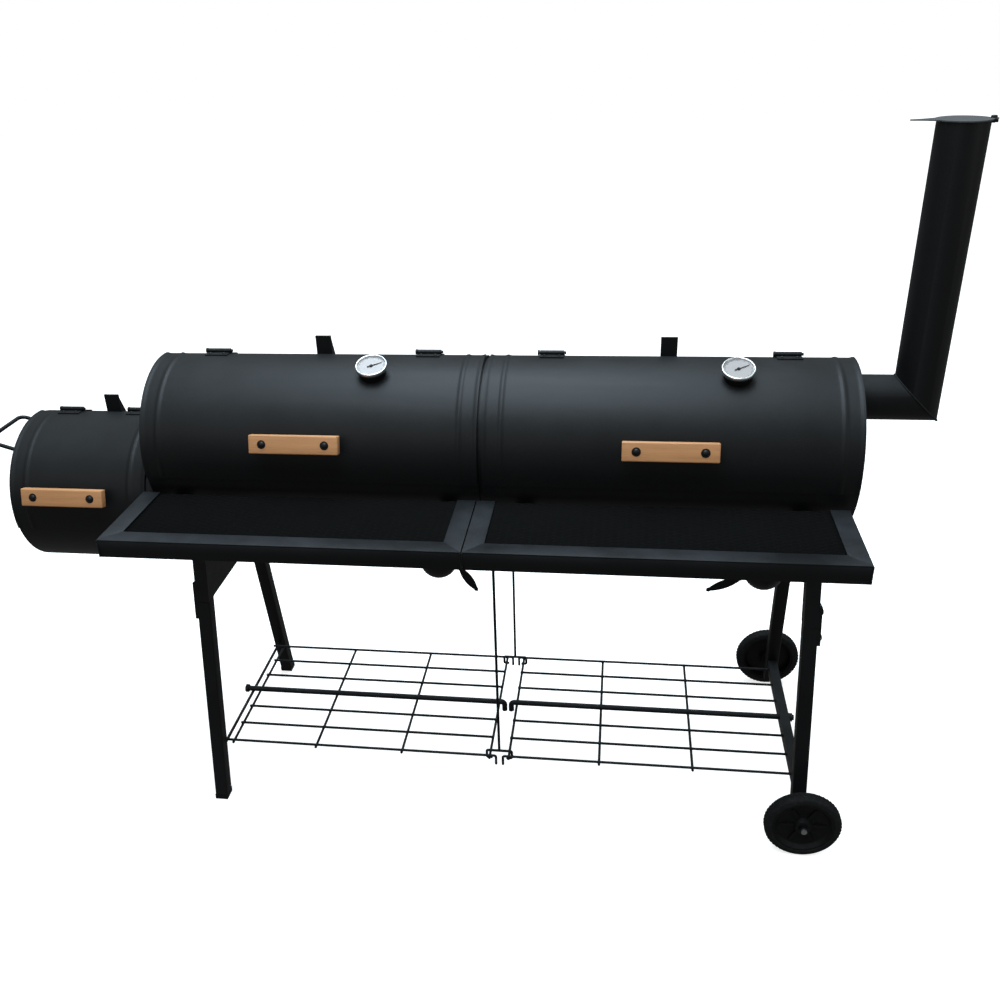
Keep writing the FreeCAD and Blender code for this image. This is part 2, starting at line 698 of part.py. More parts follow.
def make_legs():
    for name, x in LEG_X.items():
        foot = FOOT_CAP if name == "left" else WHEEL_R - 20
        axle = rod((x, -400, WHEEL_R), (x, 400, WHEEL_R), AXLE_R + TOUCH)
        for side, end in ((-1, "front"), (1, "rear")):
            leg = leg_tube(x, side, (foot, SPLICE_Z - 0.5), LEG, LEG_WALL).cut(splice_holes(name))
            if name == "right":
                leg = leg.cut(axle)
            nodes[end + "_" + name + "_leg"] = tip_in(name, leg)
        nodes[name + "_saddle"] = make_saddle(name)
    feet = []
    for side in (-1, 1):
        plug = leg_bar(LEG_X["left"], side, (0, FOOT_CAP + 15), LEG - 2 * LEG_WALL - 2 * TOUCH)
        feet.append(leg_bar(LEG_X["left"], side, (0, FOOT_CAP), LEG).fuse(plug).removeSplitter())
    nodes["foot_caps"] = group(feet)


def make_splices():
    """Plates over the joints between sockets and legs, and every bolt in the frame."""
    width, height, thick = SPLICE
    plates, bolts = [], []
    lean = math.degrees(math.atan(LEG_SLOPE))
    for name, x in LEG_X.items():
        way = outward(name)
        face = x + way * LEG / 2
        for side in (-1, 1):
            near, far = sorted((face, face + way * thick))
            plate = box((near, -width / 2, -height / 2), (far, width / 2, height / 2))
            plate.rotate(Vector(0, 0, 0), X_AXIS, lean * side)
            plate.translate(Vector(0, side * leg_y(SPLICE_Z), SPLICE_Z))
            plates.append(tip_in(name, plate.cut(splice_holes(name))))
        for _, y, z in splice_bolt_places(name):
            inside = x + way * (LEG / 2 - LEG_WALL)
            pair = bolt((face + way * thick, y, z), (inside, y, z), 6.5)
            bolts += [tip_in(name, solid) for solid in pair]
    nodes["frame_plates"] = group(plates + make_shelf_brackets())
    for y, z in joint_bolt_places():
        bolts += bolt((LEFT_CHAMBER[1] - SHEET, y, z), (RIGHT_CHAMBER[0] + SHEET, y, z), 6)
    for y, z in firebox_bolt_places():
        bolts += bolt((-SHEET, y, z), (SHEET, y, z), 6)
    damper_face = FIREBOX[0] - 0.3 - SHEET
    bolts += bolt((damper_face - 0.2, 0, DAMPER_Z), (FIREBOX[0] + SHEET, 0, DAMPER_Z), 9)
    stud = bolt(cap_pivot(STACK_TOP + CAP_THICK + 0.5), cap_pivot(STACK_TOP + CAP_THICK), 5.5)[0]
    return bolts + [stud]


def bolt(head, nut, head_r):
    """Domed bolt from the face under its head to the face under its nut, and the nut."""
    head, nut = Vector(*head), Vector(*nut)
    along = (nut - head).normalize()
    dome = Part.makeCylinder(head_r, 4, head, along * -1)
    rim = [edge for edge in dome.Edges if edge.BoundBox.Center.distanceToPoint(head) > 3.9]
    dome = dome.makeFillet(2.2, rim)
    shank = Part.makeCylinder(BOLT_R, (nut - head).Length + 8, head, along)
    ring = Part.makeCylinder(5.5, 4.5, nut, along).cut(Part.makeCylinder(BOLT_R, 9, nut - along, along))
    return [dome.fuse(shank), ring]


def joint_bolt_places():
    for turn in range(30, 390, 60):
        angle = math.radians(turn)
        yield 140 * math.cos(angle), CHAMBER_Z + 140 * math.sin(angle)


def firebox_bolt_places():
    half, low, high = SMOKE_OPENING
    return [(side * (half + 15), z) for side in (-1, 1) for z in (low + 10, high - 10)]


def make_cross_bars():
    """Round bar between the left legs, square tube between the right ones."""
    span = leg_face(LEFT_BAR_Z + 4)
    left = rod((LEFT_BAR_X, -span, LEFT_BAR_Z), (LEFT_BAR_X, span, LEFT_BAR_Z), LEFT_BAR_R)
    x, top = RIGHT_BAR_X, RIGHT_BAR_TOP
    size, wall = RIGHT_BAR, 1.5
    span = leg_face(top) - 0.1
    outer = box((x - size / 2, -span, top - size), (x + size / 2, span, top))
    core = box((x - size / 2 + wall, -span, top - size + wall), (x + size / 2 - wall, span, top - wall))
    z = centre_bar_z()
    hole = rod((x - size, 0, z), (x + size, 0, z), CENTRE_BAR_R + TOUCH)
    return group([left, outer.cut([core, hole])])


def make_wheels():
    x, z = LEG_X["right"], WHEEL_R
    nodes["wheel_axle"] = rod((x, -AXLE_END_Y, z), (x, AXLE_END_Y, z), AXLE_R)
    fittings = []
    for side, name in ((-1, "front_wheel"), (1, "rear_wheel")):
        outer, inner = side * WHEEL_OUTER_Y, side * (WHEEL_OUTER_Y - WHEEL_WIDTH)
        nodes[name + "_tyre"] = make_tyre(x, z, inner, outer)
        nodes[name + "_rim"] = make_rim(x, z, inner, outer, side)
        leg_side = side * (leg_y(z) + LEG / 2 / math.cos(math.atan(LEG_SLOPE)) + 2.0)
        fittings.append(tube((x, leg_side, z), (x, inner - side * 0.4, z), 11, AXLE_R))
        fittings.append(tube((x, outer + side * 0.4, z), (x, outer + side * 8, z), 10, AXLE_R))
    return fittings


def make_rim(x, z, inner, outer, side):
    """Disc with a raised hub, a rim and six ribs behind it."""
    disc = rod((x, outer - side * 4, z), (x, inner + side * 20, z), RIM_R)
    barrel = tube((x, outer - side * 4, z), (x, inner + side * 4, z), RIM_R, RIM_R - 5)
    hub = rod((x, outer, z), (x, inner, z), 17)
    ribs = []
    for turn in range(0, 360, 60):
        rib = box((x + 12, min(inner, outer) + 5, z - 2), (x + RIM_R - 2, max(inner, outer) - 5, z + 2))
        rib.rotate(Vector(x, 0, z), Y_AXIS, turn)
        ribs.append(rib)
    solid = disc.fuse([barrel, hub] + ribs).removeSplitter()
    return solid.cut(rod((x, -400, z), (x, 400, z), AXLE_R + AXLE_FIT))


def make_tyre(x, z, inner, outer):
    tyre = tube((x, inner, z), (x, outer, z), WHEEL_R, RIM_R)
    tyre = tyre.makeFillet(5, [edge for edge in tyre.Edges if edge.BoundBox.ZLength > 1.9 * WHEEL_R])
    grooves = []
    near = min(inner, outer) - 1
    for index in range(TREAD_GROOVES):
        groove = box((x - 1.6, near, z + WHEEL_R - 1.2), (x + 1.6, near + 14, z + WHEEL_R + 2))
        groove.rotate(Vector(x, 0, z), Y_AXIS, 360 / TREAD_GROOVES * (index + 0.5))
        other = groove.copy()
        other.translate(Vector(0, WHEEL_WIDTH - 12, 0))
        other.rotate(Vector(x, 0, z), Y_AXIS, 180 / TREAD_GROOVES)
        grooves += [groove, other]
    return tyre.cut(grooves)


# ---- wire bottom shelves

def centre_bar_z():
    return WIRE_Z - WIRE_R + CENTRE_BAR_R + 0.1


def hooked_rod(start, bend, y, z, radius):
    """Rod along X whose end at the middle of the stand turns down into a short hook."""
    return bent_rod([(start, y, z), (bend, y, z), (bend, y, z - END_DROP)], radius, radius + 2)


def make_wire_shelf(name):
    """Six long wires on top of the cross wires; the outer two end in hooks."""
    x0, x1 = WIRE_HALVES[name]
    start, bend = (EDGE_WIRE_START, x1 + 15) if name == "left" else (x1, x0 - 13)
    near = x0 - 3
    solids = [hooked_rod(start, bend, side * 3 * WIRE_PITCH, WIRE_Z, WIRE_R) for side in (-1, 1)]
    for row in (-2, -1, 1, 2):
        y = row * WIRE_PITCH
        far = x1 + 3 if name == "left" else x1
        solids.append(rod((near, y, WIRE_Z), (far, y, WIRE_Z), WIRE_R))
    end = 3 * WIRE_PITCH + 3
    z = WIRE_Z - 2 * WIRE_R - 0.02
    for x in CROSS_WIRES[name]:
        solids.append(rod((x, -end, z), (x, end, z), WIRE_R))
    return group(solids)


def make_wire_shelves():
    bars, nuts = [], []
    z = centre_bar_z()
    for name, (start, bend) in CENTRE_BARS.items():
        nodes[name + "_wire_shelf"] = make_wire_shelf(name)
        bars.append(hooked_rod(start, bend, 0, z, CENTRE_BAR_R))
        near, far = CENTRE_NUTS[name]
        nuts.append(tube((near, 0, z), (far, 0, z), 10, CENTRE_BAR_R))
    nodes["centre_bars"] = group(bars)
    nodes["hanger_rods"] = group(make_hanger(-1, FRONT_LUG_Z) + make_hanger(1, REAR_LUG_Z))
    return nuts


def make_hanger(side, lug_z):
    """Rod from a lug under the barrels down to a hook that carries both wire shelves."""
    y = side * HANGER_Y
    left, right = WIRE_HALVES["left"][1] - 7, WIRE_HALVES["right"][0] + 7
    under = WIRE_Z - 4 * WIRE_R - 0.3
    points = [(left + 13, y, under), (left, y, under), (left, y, WIRE_Z + 8), (right, y, WIRE_Z + 8),
              (right, y, under), (right - 13, y, under)]
    hook = bent_rod(points, WIRE_R, 4)
    drop = rod((HANGER_X, y, WIRE_Z + 8), (HANGER_X, y, lug_z + 13), WIRE_R)
    nuts = [tube((HANGER_X, y, z), (HANGER_X, y, z + 3.5), 4.5, WIRE_R) for z in (lug_z - 3.6, lug_z + 4.1)]
    return [hook.fuse(drop)] + nuts


# ---- drains and drip cups

def cup_pivot(name, z):
    x, way = CUP_PLACES[name]
    return (x - way * CUP_ARM, 0, z)


def make_cup(name):
    """Round-bottomed cup with a rim that hangs in the swivel arm's ring."""
    x, _ = CUP_PLACES[name]
    low = CUP_TOP_Z - CUP_DEPTH + CUP_R
    outer = bowl(x, low, CUP_R).fuse(rod((x, 0, low), (x, 0, CUP_TOP_Z), CUP_R))
    outer = outer.fuse(rod((x, 0, CUP_TOP_Z), (x, 0, CUP_TOP_Z + 1.5), CUP_R + 3.5))
    inner = bowl(x, low, CUP_R - 1.5).fuse(rod((x, 0, low), (x, 0, CUP_TOP_Z + 9), CUP_R - 1.5))
    return outer.cut(inner).removeSplitter()


def bowl(x, z, radius):
    return Part.makeSphere(radius, Vector(x, 0, z), Z_AXIS, -90, 0, 360)


def make_cup_arm(name):
    """Ring under the cup's rim, the eye on the pivot pin and the finger tab."""
    x, way = CUP_PLACES[name]
    top, low = CUP_TOP_Z - TOUCH, CUP_TOP_Z - 4
    ring = rod((x, 0, low), (x, 0, top), CUP_R + 7)
    eye = rod(cup_pivot(name, low), cup_pivot(name, top), 9)
    near, far = sorted((x - way * (CUP_R + 4), x - way * CUP_ARM))
    arm = ring.fuse([eye, box((near, -7, low), (far, 7, top))])
    arm = arm.cut([rod((x, 0, low - 1), (x, 0, top + 1), CUP_R + 0.2),
                   rod(cup_pivot(name, low - 1), cup_pivot(name, top + 1), 4 + PIN_FIT)])
    return arm.fuse(leaf_tab(name)).removeSplitter()


def leaf_tab(name):
    """Stem down from the ring and an upright leaf that runs outwards and down."""
    x, way = CUP_PLACES[name]
    reach, drop = CUP_TABS[name]
    start = Vector(x + way * (CUP_R + 5), -1.25, CUP_TOP_Z - TAB_STEM)
    tip = Vector(x + way * reach, -1.25, CUP_TOP_Z - drop)
    along = (tip - start).normalize()
    side = along.cross(Y_AXIS)
    middle = start + (tip - start) * 0.6
    root = (start - side * 3.5, start + side * 3.5)
    belly = (middle - side * TAB_HALF_WIDTH, middle + side * TAB_HALF_WIDTH)
    edges = [Part.Arc(root[0], belly[0], tip).toShape(), Part.Arc(tip, belly[1], root[1]).toShape(),
             Part.makeLine(root[1], root[0])]
    leaf = Part.Face(Part.Wire(edges)).extrude(Vector(0, 2.5, 0))
    end = tip - along * 7
    tip_round = Part.makeCylinder(5, 2.5, end, Y_AXIS)
    near, far = sorted((x + way * (CUP_R + 1.5), x + way * (CUP_R + 6.8)))
    stem = box((near, -3, CUP_TOP_Z - TAB_STEM - 3), (far, 3, CUP_TOP_Z - 3))
    return [leaf, tip_round, stem]


def make_drains():
    skin = CHAMBER_R - SHEET - LID_GAP
    barrel = rod((0, 0, CHAMBER_Z), (1500, 0, CHAMBER_Z), skin)
    spouts, pins = [], []
    low = CUP_TOP_Z - 4
    for name, (x, _) in CUP_PLACES.items():
        nodes[name + "_drip_cup"] = make_cup(name)
        nodes[name + "_cup_arm"] = make_cup_arm(name)
        spouts.append(tube((x, 0, 632), (x, 0, CHAMBER_Z - 100), 10, 8).cut(barrel))
        pin = rod(cup_pivot(name, low - 4.2), cup_pivot(name, CHAMBER_Z - 100), 4)
        head = rod(cup_pivot(name, low - 4.2), cup_pivot(name, low - 0.2), 8)
        collar = rod(cup_pivot(name, CUP_TOP_Z + 0.1), cup_pivot(name, CUP_TOP_Z + 5), 7)
        pins.append(pin.fuse([head, collar]).cut(barrel))
    nodes["drain_fittings"] = group(spouts + pins)


# ---- inside the barrels

def ledge_pair(name, z, half_width):
    (x0, x1), radius, axis_z = BARRELS[name]
    inside = rod((x0, 0, axis_z), (x1, 0, axis_z), radius - 2 * SHEET - LID_GAP)
    ledges = []
    for side in (-1, 1):
        y0, y1 = sorted((side * half_width, side * radius))
        ledges.append(box((x0 + 12, y0, z - 3), (x1 - 12, y1, z)).common(inside))
    return ledges


def make_grate(name, z, half_width, bar_r):
    """Two side rods that rest on the ledges and the bars that lie across them."""
    x0, x1 = BARRELS[name][0]
    x0, x1 = x0 + 14, x1 - 14
    rods = [rod((x0, side * half_width, z + 3), (x1, side * half_width, z + 3), 3) for side in (-1, 1)]
    count = int((x1 - x0 - 8) / GRATE_PITCH)
    first = (x0 + x1 - count * GRATE_PITCH) / 2
    top = z + 6 + bar_r
    for index in range(count + 1):
        x = first + index * GRATE_PITCH
        rods.append(rod((x, -half_width - 2, top), (x, half_width + 2, top), bar_r))
    return group(rods)


def make_insides():
    ledges = ledge_pair("firebox", COAL_GRATE_Z, 116)
    for name in ("left", "right"):
        ledges += ledge_pair(name, GRATE_Z - 3, 144)
        nodes[name + "_grate"] = make_grate(name, GRATE_Z - 3, GRATE_HALF_WIDTH, 2.0)
    nodes["coal_grate"] = make_grate("firebox", COAL_GRATE_Z, 121, 3.5)
    nodes["grate_ledges"] = group(ledges)


def save(folder):
    """Moves everything onto the common origin and writes one file per node."""
    x_mid = (FIREBOX[0] - LIFT_REACH - LIFT_WIRE_R + cap_pivot(0)[0] + CAP_EAR_R) / 2
    y_mid = (SHELF_FRONT + AXLE_END_Y) / 2
    for name, shape in nodes.items():
        shape.translate(Vector(-x_mid, -y_mid, 0))
        shape.exportStep(os.path.join(folder, name + ".step"))


def main():
    os.makedirs("parts", exist_ok=True)
    make_barrels()
    make_lids_and_hinges()
    nodes["lift_handle"] = make_lift_handle()
    nodes["air_damper"] = make_air_damper()
    make_chimney()
    make_shelves()
    make_legs()
    nodes["cross_bars"] = make_cross_bars()
    nodes["frame_bolts"] = group(make_splices() + make_wheels() + make_wire_shelves())
    make_drains()
    make_insides()
    save("parts")


main()
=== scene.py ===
import json
import logging
import math
from dataclasses import dataclass
from enum import Enum
from typing import Iterable, Optional, Sequence, Union

import bmesh
import bpy
from mathutils import Matrix, Vector


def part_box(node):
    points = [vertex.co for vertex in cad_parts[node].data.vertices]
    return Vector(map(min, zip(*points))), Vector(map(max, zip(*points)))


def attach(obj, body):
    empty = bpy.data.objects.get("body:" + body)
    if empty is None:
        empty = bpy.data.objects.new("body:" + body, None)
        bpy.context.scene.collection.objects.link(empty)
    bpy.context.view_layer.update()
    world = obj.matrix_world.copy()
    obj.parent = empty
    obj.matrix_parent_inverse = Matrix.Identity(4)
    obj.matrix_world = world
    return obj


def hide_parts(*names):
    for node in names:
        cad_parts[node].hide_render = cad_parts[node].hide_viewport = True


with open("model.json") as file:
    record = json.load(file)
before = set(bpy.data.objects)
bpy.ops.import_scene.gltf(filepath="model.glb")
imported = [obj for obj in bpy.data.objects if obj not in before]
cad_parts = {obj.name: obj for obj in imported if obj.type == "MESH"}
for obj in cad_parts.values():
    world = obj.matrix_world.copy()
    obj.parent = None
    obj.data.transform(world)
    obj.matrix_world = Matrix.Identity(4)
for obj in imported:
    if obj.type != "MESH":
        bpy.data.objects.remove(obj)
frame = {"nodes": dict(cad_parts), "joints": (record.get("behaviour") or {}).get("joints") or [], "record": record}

LOG = logging.getLogger("smoker")
Triple = tuple[float, float, float]
Number = Union[float, "Wire"]


# ------------------------------------------------------------------ node wiring

class Wire:
    """One output socket, with arithmetic that adds Math nodes to its tree."""

    def __init__(self, bench: "Bench", socket: bpy.types.NodeSocket) -> None:
        """Keeps the socket and the bench that can add nodes after it."""
        self.bench = bench
        self.socket = socket

    def __add__(self, other: Number) -> "Wire":
        """Sum."""
        return self.bench.math("ADD", self, other)

    def __sub__(self, other: Number) -> "Wire":
        """Difference."""
        return self.bench.math("SUBTRACT", self, other)

    def __rsub__(self, other: Number) -> "Wire":
        """Difference with this wire on the right."""
        return self.bench.math("SUBTRACT", other, self)

    def __mul__(self, other: Number) -> "Wire":
        """Product."""
        return self.bench.math("MULTIPLY", self, other)

    def __truediv__(self, other: Number) -> "Wire":
        """Quotient."""
        return self.bench.math("DIVIDE", self, other)

    def __pow__(self, other: Number) -> "Wire":
        """Power."""
        return self.bench.math("POWER", self, other)

    __radd__ = __add__
    __rmul__ = __mul__


class Bench:
    """Adds nodes to one tree and joins them."""

    def __init__(self, tree: bpy.types.NodeTree) -> None:
        """Works on an empty or part-built tree."""
        self.tree = tree

    def node(self, kind: str, settings: Optional[dict] = None,
             values: Optional[dict] = None) -> bpy.types.Node:
        """Adds one node.

        Args:
            kind: Blender's name of the node type.
            settings: Properties set before anything else; "stops" fills a colour ramp.
            values: Input name or index to a number, a colour or a Wire.

        Returns:
            The new node.
        """
        node = self.tree.nodes.new(kind)
        for name, value in (settings or {}).items():
            if name == "stops":
                self._fill_ramp(node.color_ramp, value)
            else:
                setattr(node, name, value)
        for key, value in (values or {}).items():
            self.plug(node.inputs[key], value)
        return node

    @staticmethod
    def _fill_ramp(ramp: bpy.types.ColorRamp, stops: Sequence[tuple[float, float]]) -> None:
        """Sets a ramp's grey stops from (position, value) pairs."""
        while len(ramp.elements) < len(stops):
            ramp.elements.new(0.5)
        for element, (place, value) in zip(ramp.elements, stops):
            element.position = place
            element.color = (value, value, value, 1.0)

    def plug(self, socket: bpy.types.NodeSocket, value: object) -> None:
        """Links a Wire to the socket, or sets the socket's own value."""
        if isinstance(value, Wire):
            self.tree.links.new(value.socket, socket)
        else:
            socket.default_value = value

    def take(self, kind: str, settings: Optional[dict] = None, values: Optional[dict] = None,
             output: Union[int, str] = 0) -> Wire:
        """Adds one node and gives one of its outputs as a Wire."""
        return Wire(self, self.node(kind, settings, values).outputs[output])

    def math(self, operation: str, first: Number, second: Number = 0.0) -> Wire:
        """Adds a Math node on two values."""
        return self.take("ShaderNodeMath", {"operation": operation}, {0: first, 1: second})

    def vector(self, x: Number, y: Number, z: Number) -> Wire:
        """Joins three values into a vector."""
        return self.take("ShaderNodeCombineXYZ", None, {0: x, 1: y, 2: z})

    def split(self, vector: Wire) -> tuple[Wire, Wire, Wire]:
        """Gives a vector's three components."""
        node = self.node("ShaderNodeSeparateXYZ", None, {0: vector})
        return tuple(Wire(self, socket) for socket in node.outputs)


# ------------------------------------------------------------------ finishes

class Shader(Bench):
    """The node tree of one material, with the patterns that its finishes share."""

    def __init__(self, name: str) -> None:
        """Starts a material with a Principled shader."""
        self.material = bpy.data.materials.new(name)
        self.material.use_nodes = True
        super().__init__(self.material.node_tree)
        self.surface = next(n for n in self.tree.nodes if n.type == "BSDF_PRINCIPLED")
        self.where = self.take("ShaderNodeTexCoord", output="Object")

    def stretched(self, scale: Triple) -> Wire:
        """Gives the place on the piece, scaled by a different amount each way."""
        return self.take("ShaderNodeMapping", None, {"Vector": self.where, "Scale": scale})

    def noise(self, scale: float, detail: float = 4.0, where: Optional[Wire] = None) -> Wire:
        """Cloudy noise from 0 to 1 at the scale, in features per metre."""
        return self.take("ShaderNodeTexNoise", None,
                         {"Vector": where or self.where, "Scale": scale, "Detail": detail, "Roughness": 0.6})

    def ramp(self, value: Wire, stops: Sequence[tuple[float, float]]) -> Wire:
        """Maps a value through grey stops."""
        return self.take("ShaderNodeValToRGB", {"stops": stops}, {"Fac": value})

    def blend(self, factor: Number, first: object, second: object) -> Wire:
        """Mixes two colours."""
        node = self.node("ShaderNodeMix", {"data_type": "RGBA"}, {0: factor, 6: first, 7: second})
        return Wire(self, node.outputs[2])

    def upward(self) -> Wire:
        """How far the surface faces up, from 0 at the sides to 1 on top."""
        normal = self.take("ShaderNodeTexCoord", output="Normal")
        return self.math("MAXIMUM", self.split(normal)[2], 0.0)

    def bump(self, height: Wire, depth: float, strength: float = 1.0) -> None:
        """Raises the surface by a height pattern of the depth, in metres."""
        normal = self.take("ShaderNodeBump", None,
                           {"Height": height, "Distance": depth, "Strength": strength})
        self.plug(self.surface.inputs["Normal"], normal)

    def set(self, **values: object) -> None:
        """Sets or links the Principled shader's inputs, with spaces as underscores."""
        for name, value in values.items():
            self.plug(self.surface.inputs[name.replace("_", " ")], value)


def grey(value: float, blue: float = 1.0) -> tuple[float, float, float, float]:
    """A grey colour, cooler as blue goes above 1."""
    return (value, value * (1 + (blue - 1) * 0.45), value * blue, 1.0)


@dataclass(frozen=True)
class SatinPaint:
    """Heat-resistant black paint: orange peel, faint streaks, and dust with a painted cool sheen on what faces up.
    """

    name: str
    shade: float = 0.004
    rough: float = 0.42
    # How far what faces up is lightened towards a cooler grey: partly dust, partly a painted highlight of the
    # light from above.
    dust_and_sheen: float = 0.3
    peel: float = 520.0
    gloss: float = 0.24

    def make(self) -> bpy.types.Material:
        """Builds the material."""
        shader = Shader(self.name)
        cloud = shader.noise(7.0, 6.0)
        streak = shader.noise(1.0, 5.0, shader.stretched((3.0, 60.0, 60.0)))
        speck = shader.ramp(shader.noise(900.0, 2.0), [(0.66, 0.0), (0.74, 1.0)])
        # Painted highlight: surfaces facing up turn lighter and bluer. This stands for the overhead light's sheen
        # as well as settled dust.
        top_dust_and_sheen = shader.upward() * shader.ramp(cloud, [(0.35, 0.2), (0.7, 1.0)]) * self.dust_and_sheen
        tone = shader.blend(top_dust_and_sheen, grey(self.shade, 1.12), grey(self.shade * 8.0, 1.2))
        tone = shader.blend(speck * 0.2, tone, grey(0.03, 1.05))
        shader.set(Base_Color=tone, Metallic=0.0, Roughness=self.rough + cloud * 0.10 + (streak - 0.5) * 0.12,
                   Specular_IOR_Level=self.gloss)
        shader.bump(shader.noise(self.peel, 3.0) + streak * 0.5, 0.00035, 0.5)
        return shader.material


@dataclass(frozen=True)
class GripWood:
    """Pale varnished hardwood with grain along the grip."""

    name: str = "grip_wood"
    pale: Triple = (0.60, 0.28, 0.115)
    dark: Triple = (0.36, 0.145, 0.048)

    def make(self) -> bpy.types.Material:
        """Builds the material."""
        shader = Shader(self.name)
        wander = shader.noise(9.0, 3.0)
        grain = shader.noise(1.0, 6.0, shader.stretched((6.0, 190.0, 150.0)))
        rings = shader.noise(1.0, 2.0, shader.stretched((2.2, 45.0, 38.0)))
        pores = shader.ramp(shader.noise(1.0, 2.0, shader.stretched((45.0, 1500.0, 1400.0))),
                            [(0.6, 0.0), (0.72, 1.0)])
        mask = shader.ramp(grain * 0.6 + rings * 0.5, [(0.42, 0.0), (0.72, 1.0)])
        tone = shader.blend(mask * 0.65, (*self.pale, 1.0), (*self.dark, 1.0))
        tone = shader.blend(wander * 0.3, tone, (0.66, 0.34, 0.15, 1.0))
        tone = shader.blend(pores * 0.35, tone, (0.2, 0.09, 0.035, 1.0))
        shader.set(Base_Color=tone, Roughness=0.42 + grain * 0.2, Coat_Weight=0.15, Coat_Roughness=0.25)
        shader.bump(grain + pores * -0.6, 0.0002, 0.5)
        return shader.material


@dataclass(frozen=True)
class BareMetal:
    """Plated or bare metal with fine scratches and dulled patches."""

    name: str
    shade: float = 0.55
    rough: float = 0.3
    blue: float = 1.02

    def make(self) -> bpy.types.Material:
        """Builds the material."""
        shader = Shader(self.name)
        patch = shader.noise(60.0, 5.0)
        scratch = shader.noise(1.0, 3.0, shader.stretched((150.0, 2400.0, 900.0)))
        tone = shader.blend(patch * 0.5, grey(self.shade, self.blue), grey(self.shade * 0.6, self.blue))
        shader.set(Base_Color=tone, Metallic=1.0, Roughness=self.rough + patch * 0.12 + scratch * 0.08)
        shader.bump(scratch, 0.00008, 0.4)
        return shader.material


@dataclass(frozen=True)
class GreyEnamel:
    """Light grey paint of the chimney's cap, rubbed and slightly mottled."""

    name: str = "cap_grey"
    shade: float = 0.07

    def make(self) -> bpy.types.Material:
        """Builds the material."""
        shader = Shader(self.name)
        cloud = shader.noise(22.0, 6.0)
        streak = shader.noise(1.0, 5.0, shader.stretched((60.0, 500.0, 60.0)))
        rub = shader.ramp(streak, [(0.5, 0.0), (0.7, 1.0)])
        tone = shader.blend(cloud * 0.6, grey(self.shade, 1.03), grey(self.shade * 0.55, 1.06))
        tone = shader.blend(rub * 0.3, tone, grey(0.2, 1.02))
        shader.set(Base_Color=tone, Metallic=0.15, Roughness=0.42 + cloud * 0.2)
        shader.bump(cloud, 0.0003, 0.4)
        return shader.material


@dataclass(frozen=True)
class DialFace:
    """Off-white printed face with a faint speckle."""

    name: str = "dial_face"

    def make(self) -> bpy.types.Material:
        """Builds the material."""
        shader = Shader(self.name)
        speck = shader.noise(700.0, 4.0)
        cloud = shader.noise(60.0, 3.0)
        tone = shader.blend(speck * 0.25 + cloud * 0.2, (0.34, 0.31, 0.30, 1.0), (0.24, 0.22, 0.21, 1.0))
        shader.set(Base_Color=tone, Roughness=0.35 + speck * 0.15, Coat_Weight=0.4, Coat_Roughness=0.1)
        return shader.material


@dataclass(frozen=True)
class Moulded:
    """Moulded plastic or rubber: flow marks, scuffs and a fine pebble."""

    name: str
    shade: float = 0.03
    rough: float = 0.5
    scuff: float = 0.5

    def make(self) -> bpy.types.Material:
        """Builds the material."""
        shader = Shader(self.name)
        cloud = shader.noise(35.0, 5.0)
        worn = shader.ramp(shader.noise(160.0, 6.0), [(0.52, 0.0), (0.75, 1.0)])
        tone = shader.blend(worn * self.scuff, grey(self.shade, 1.04), grey(self.shade * 2.2 + 0.004, 1.02))
        shader.set(Base_Color=tone, Roughness=self.rough + cloud * 0.15, Specular_IOR_Level=0.15)
        shader.bump(shader.noise(1400.0, 2.0) + cloud, 0.0002, 0.5)
        return shader.material


@dataclass(frozen=True)
class CastGrate:
    """Enamelled grate bars with a burnt, uneven skin."""

    name: str = "grate_black"

    def make(self) -> bpy.types.Material:
        """Builds the material."""
        shader = Shader(self.name)
        crust = shader.noise(420.0, 6.0)
        cloud = shader.noise(14.0, 4.0)
        tone = shader.blend(cloud * crust, grey(0.02), (0.09, 0.075, 0.065, 1.0))
        shader.set(Base_Color=tone, Metallic=0.2, Roughness=0.55 + crust * 0.25)
        shader.bump(crust, 0.0004, 0.6)
        return shader.material


class Finish(Enum):
    """Every finish on the smoker."""

    BARREL = SatinPaint("barrel_satin")
    # Frame paint at full top lightening: the tops of rails and flanges carry a painted highlight besides dust.
    FRAME = SatinPaint("frame_satin", shade=0.0035, rough=0.42, dust_and_sheen=1.0, peel=700.0, gloss=0.2)
    # Darker copy of the frame paint for the shelf mesh: painted shade, with little of the painted top highlight.
    MESH = SatinPaint("mesh_satin", shade=0.002, rough=0.5, dust_and_sheen=0.15, peel=900.0, gloss=0.06)
    CUP = SatinPaint("cup_satin", shade=0.005, rough=0.36, dust_and_sheen=0.3)
    WOOD = GripWood()
    BOLT = BareMetal("bolt_zinc", shade=0.42, rough=0.38)
    BLACK_BOLT = BareMetal("bolt_black_oxide", shade=0.035, rough=0.34)
    BEZEL = BareMetal("bezel_bright", shade=0.86, rough=0.16)
    DIAL = DialFace()
    PRINT = Moulded("dial_print", shade=0.02, rough=0.5, scuff=0.1)
    NEEDLE = Moulded("needle_enamel", shade=0.015, rough=0.4, scuff=0.1)
    CAP = GreyEnamel()
    TYRE = Moulded("tyre_rubber", shade=0.009, rough=0.62, scuff=0.8)
    WHEEL = Moulded("wheel_moulding", shade=0.005, rough=0.45, scuff=0.35)
    GRATE = CastGrate()

    @property
    def material(self) -> bpy.types.Material:
        """The finish's material, made on first use."""
        return bpy.data.materials.get(self.value.name) or self.value.make()


# ------------------------------------------------------------------ meshes

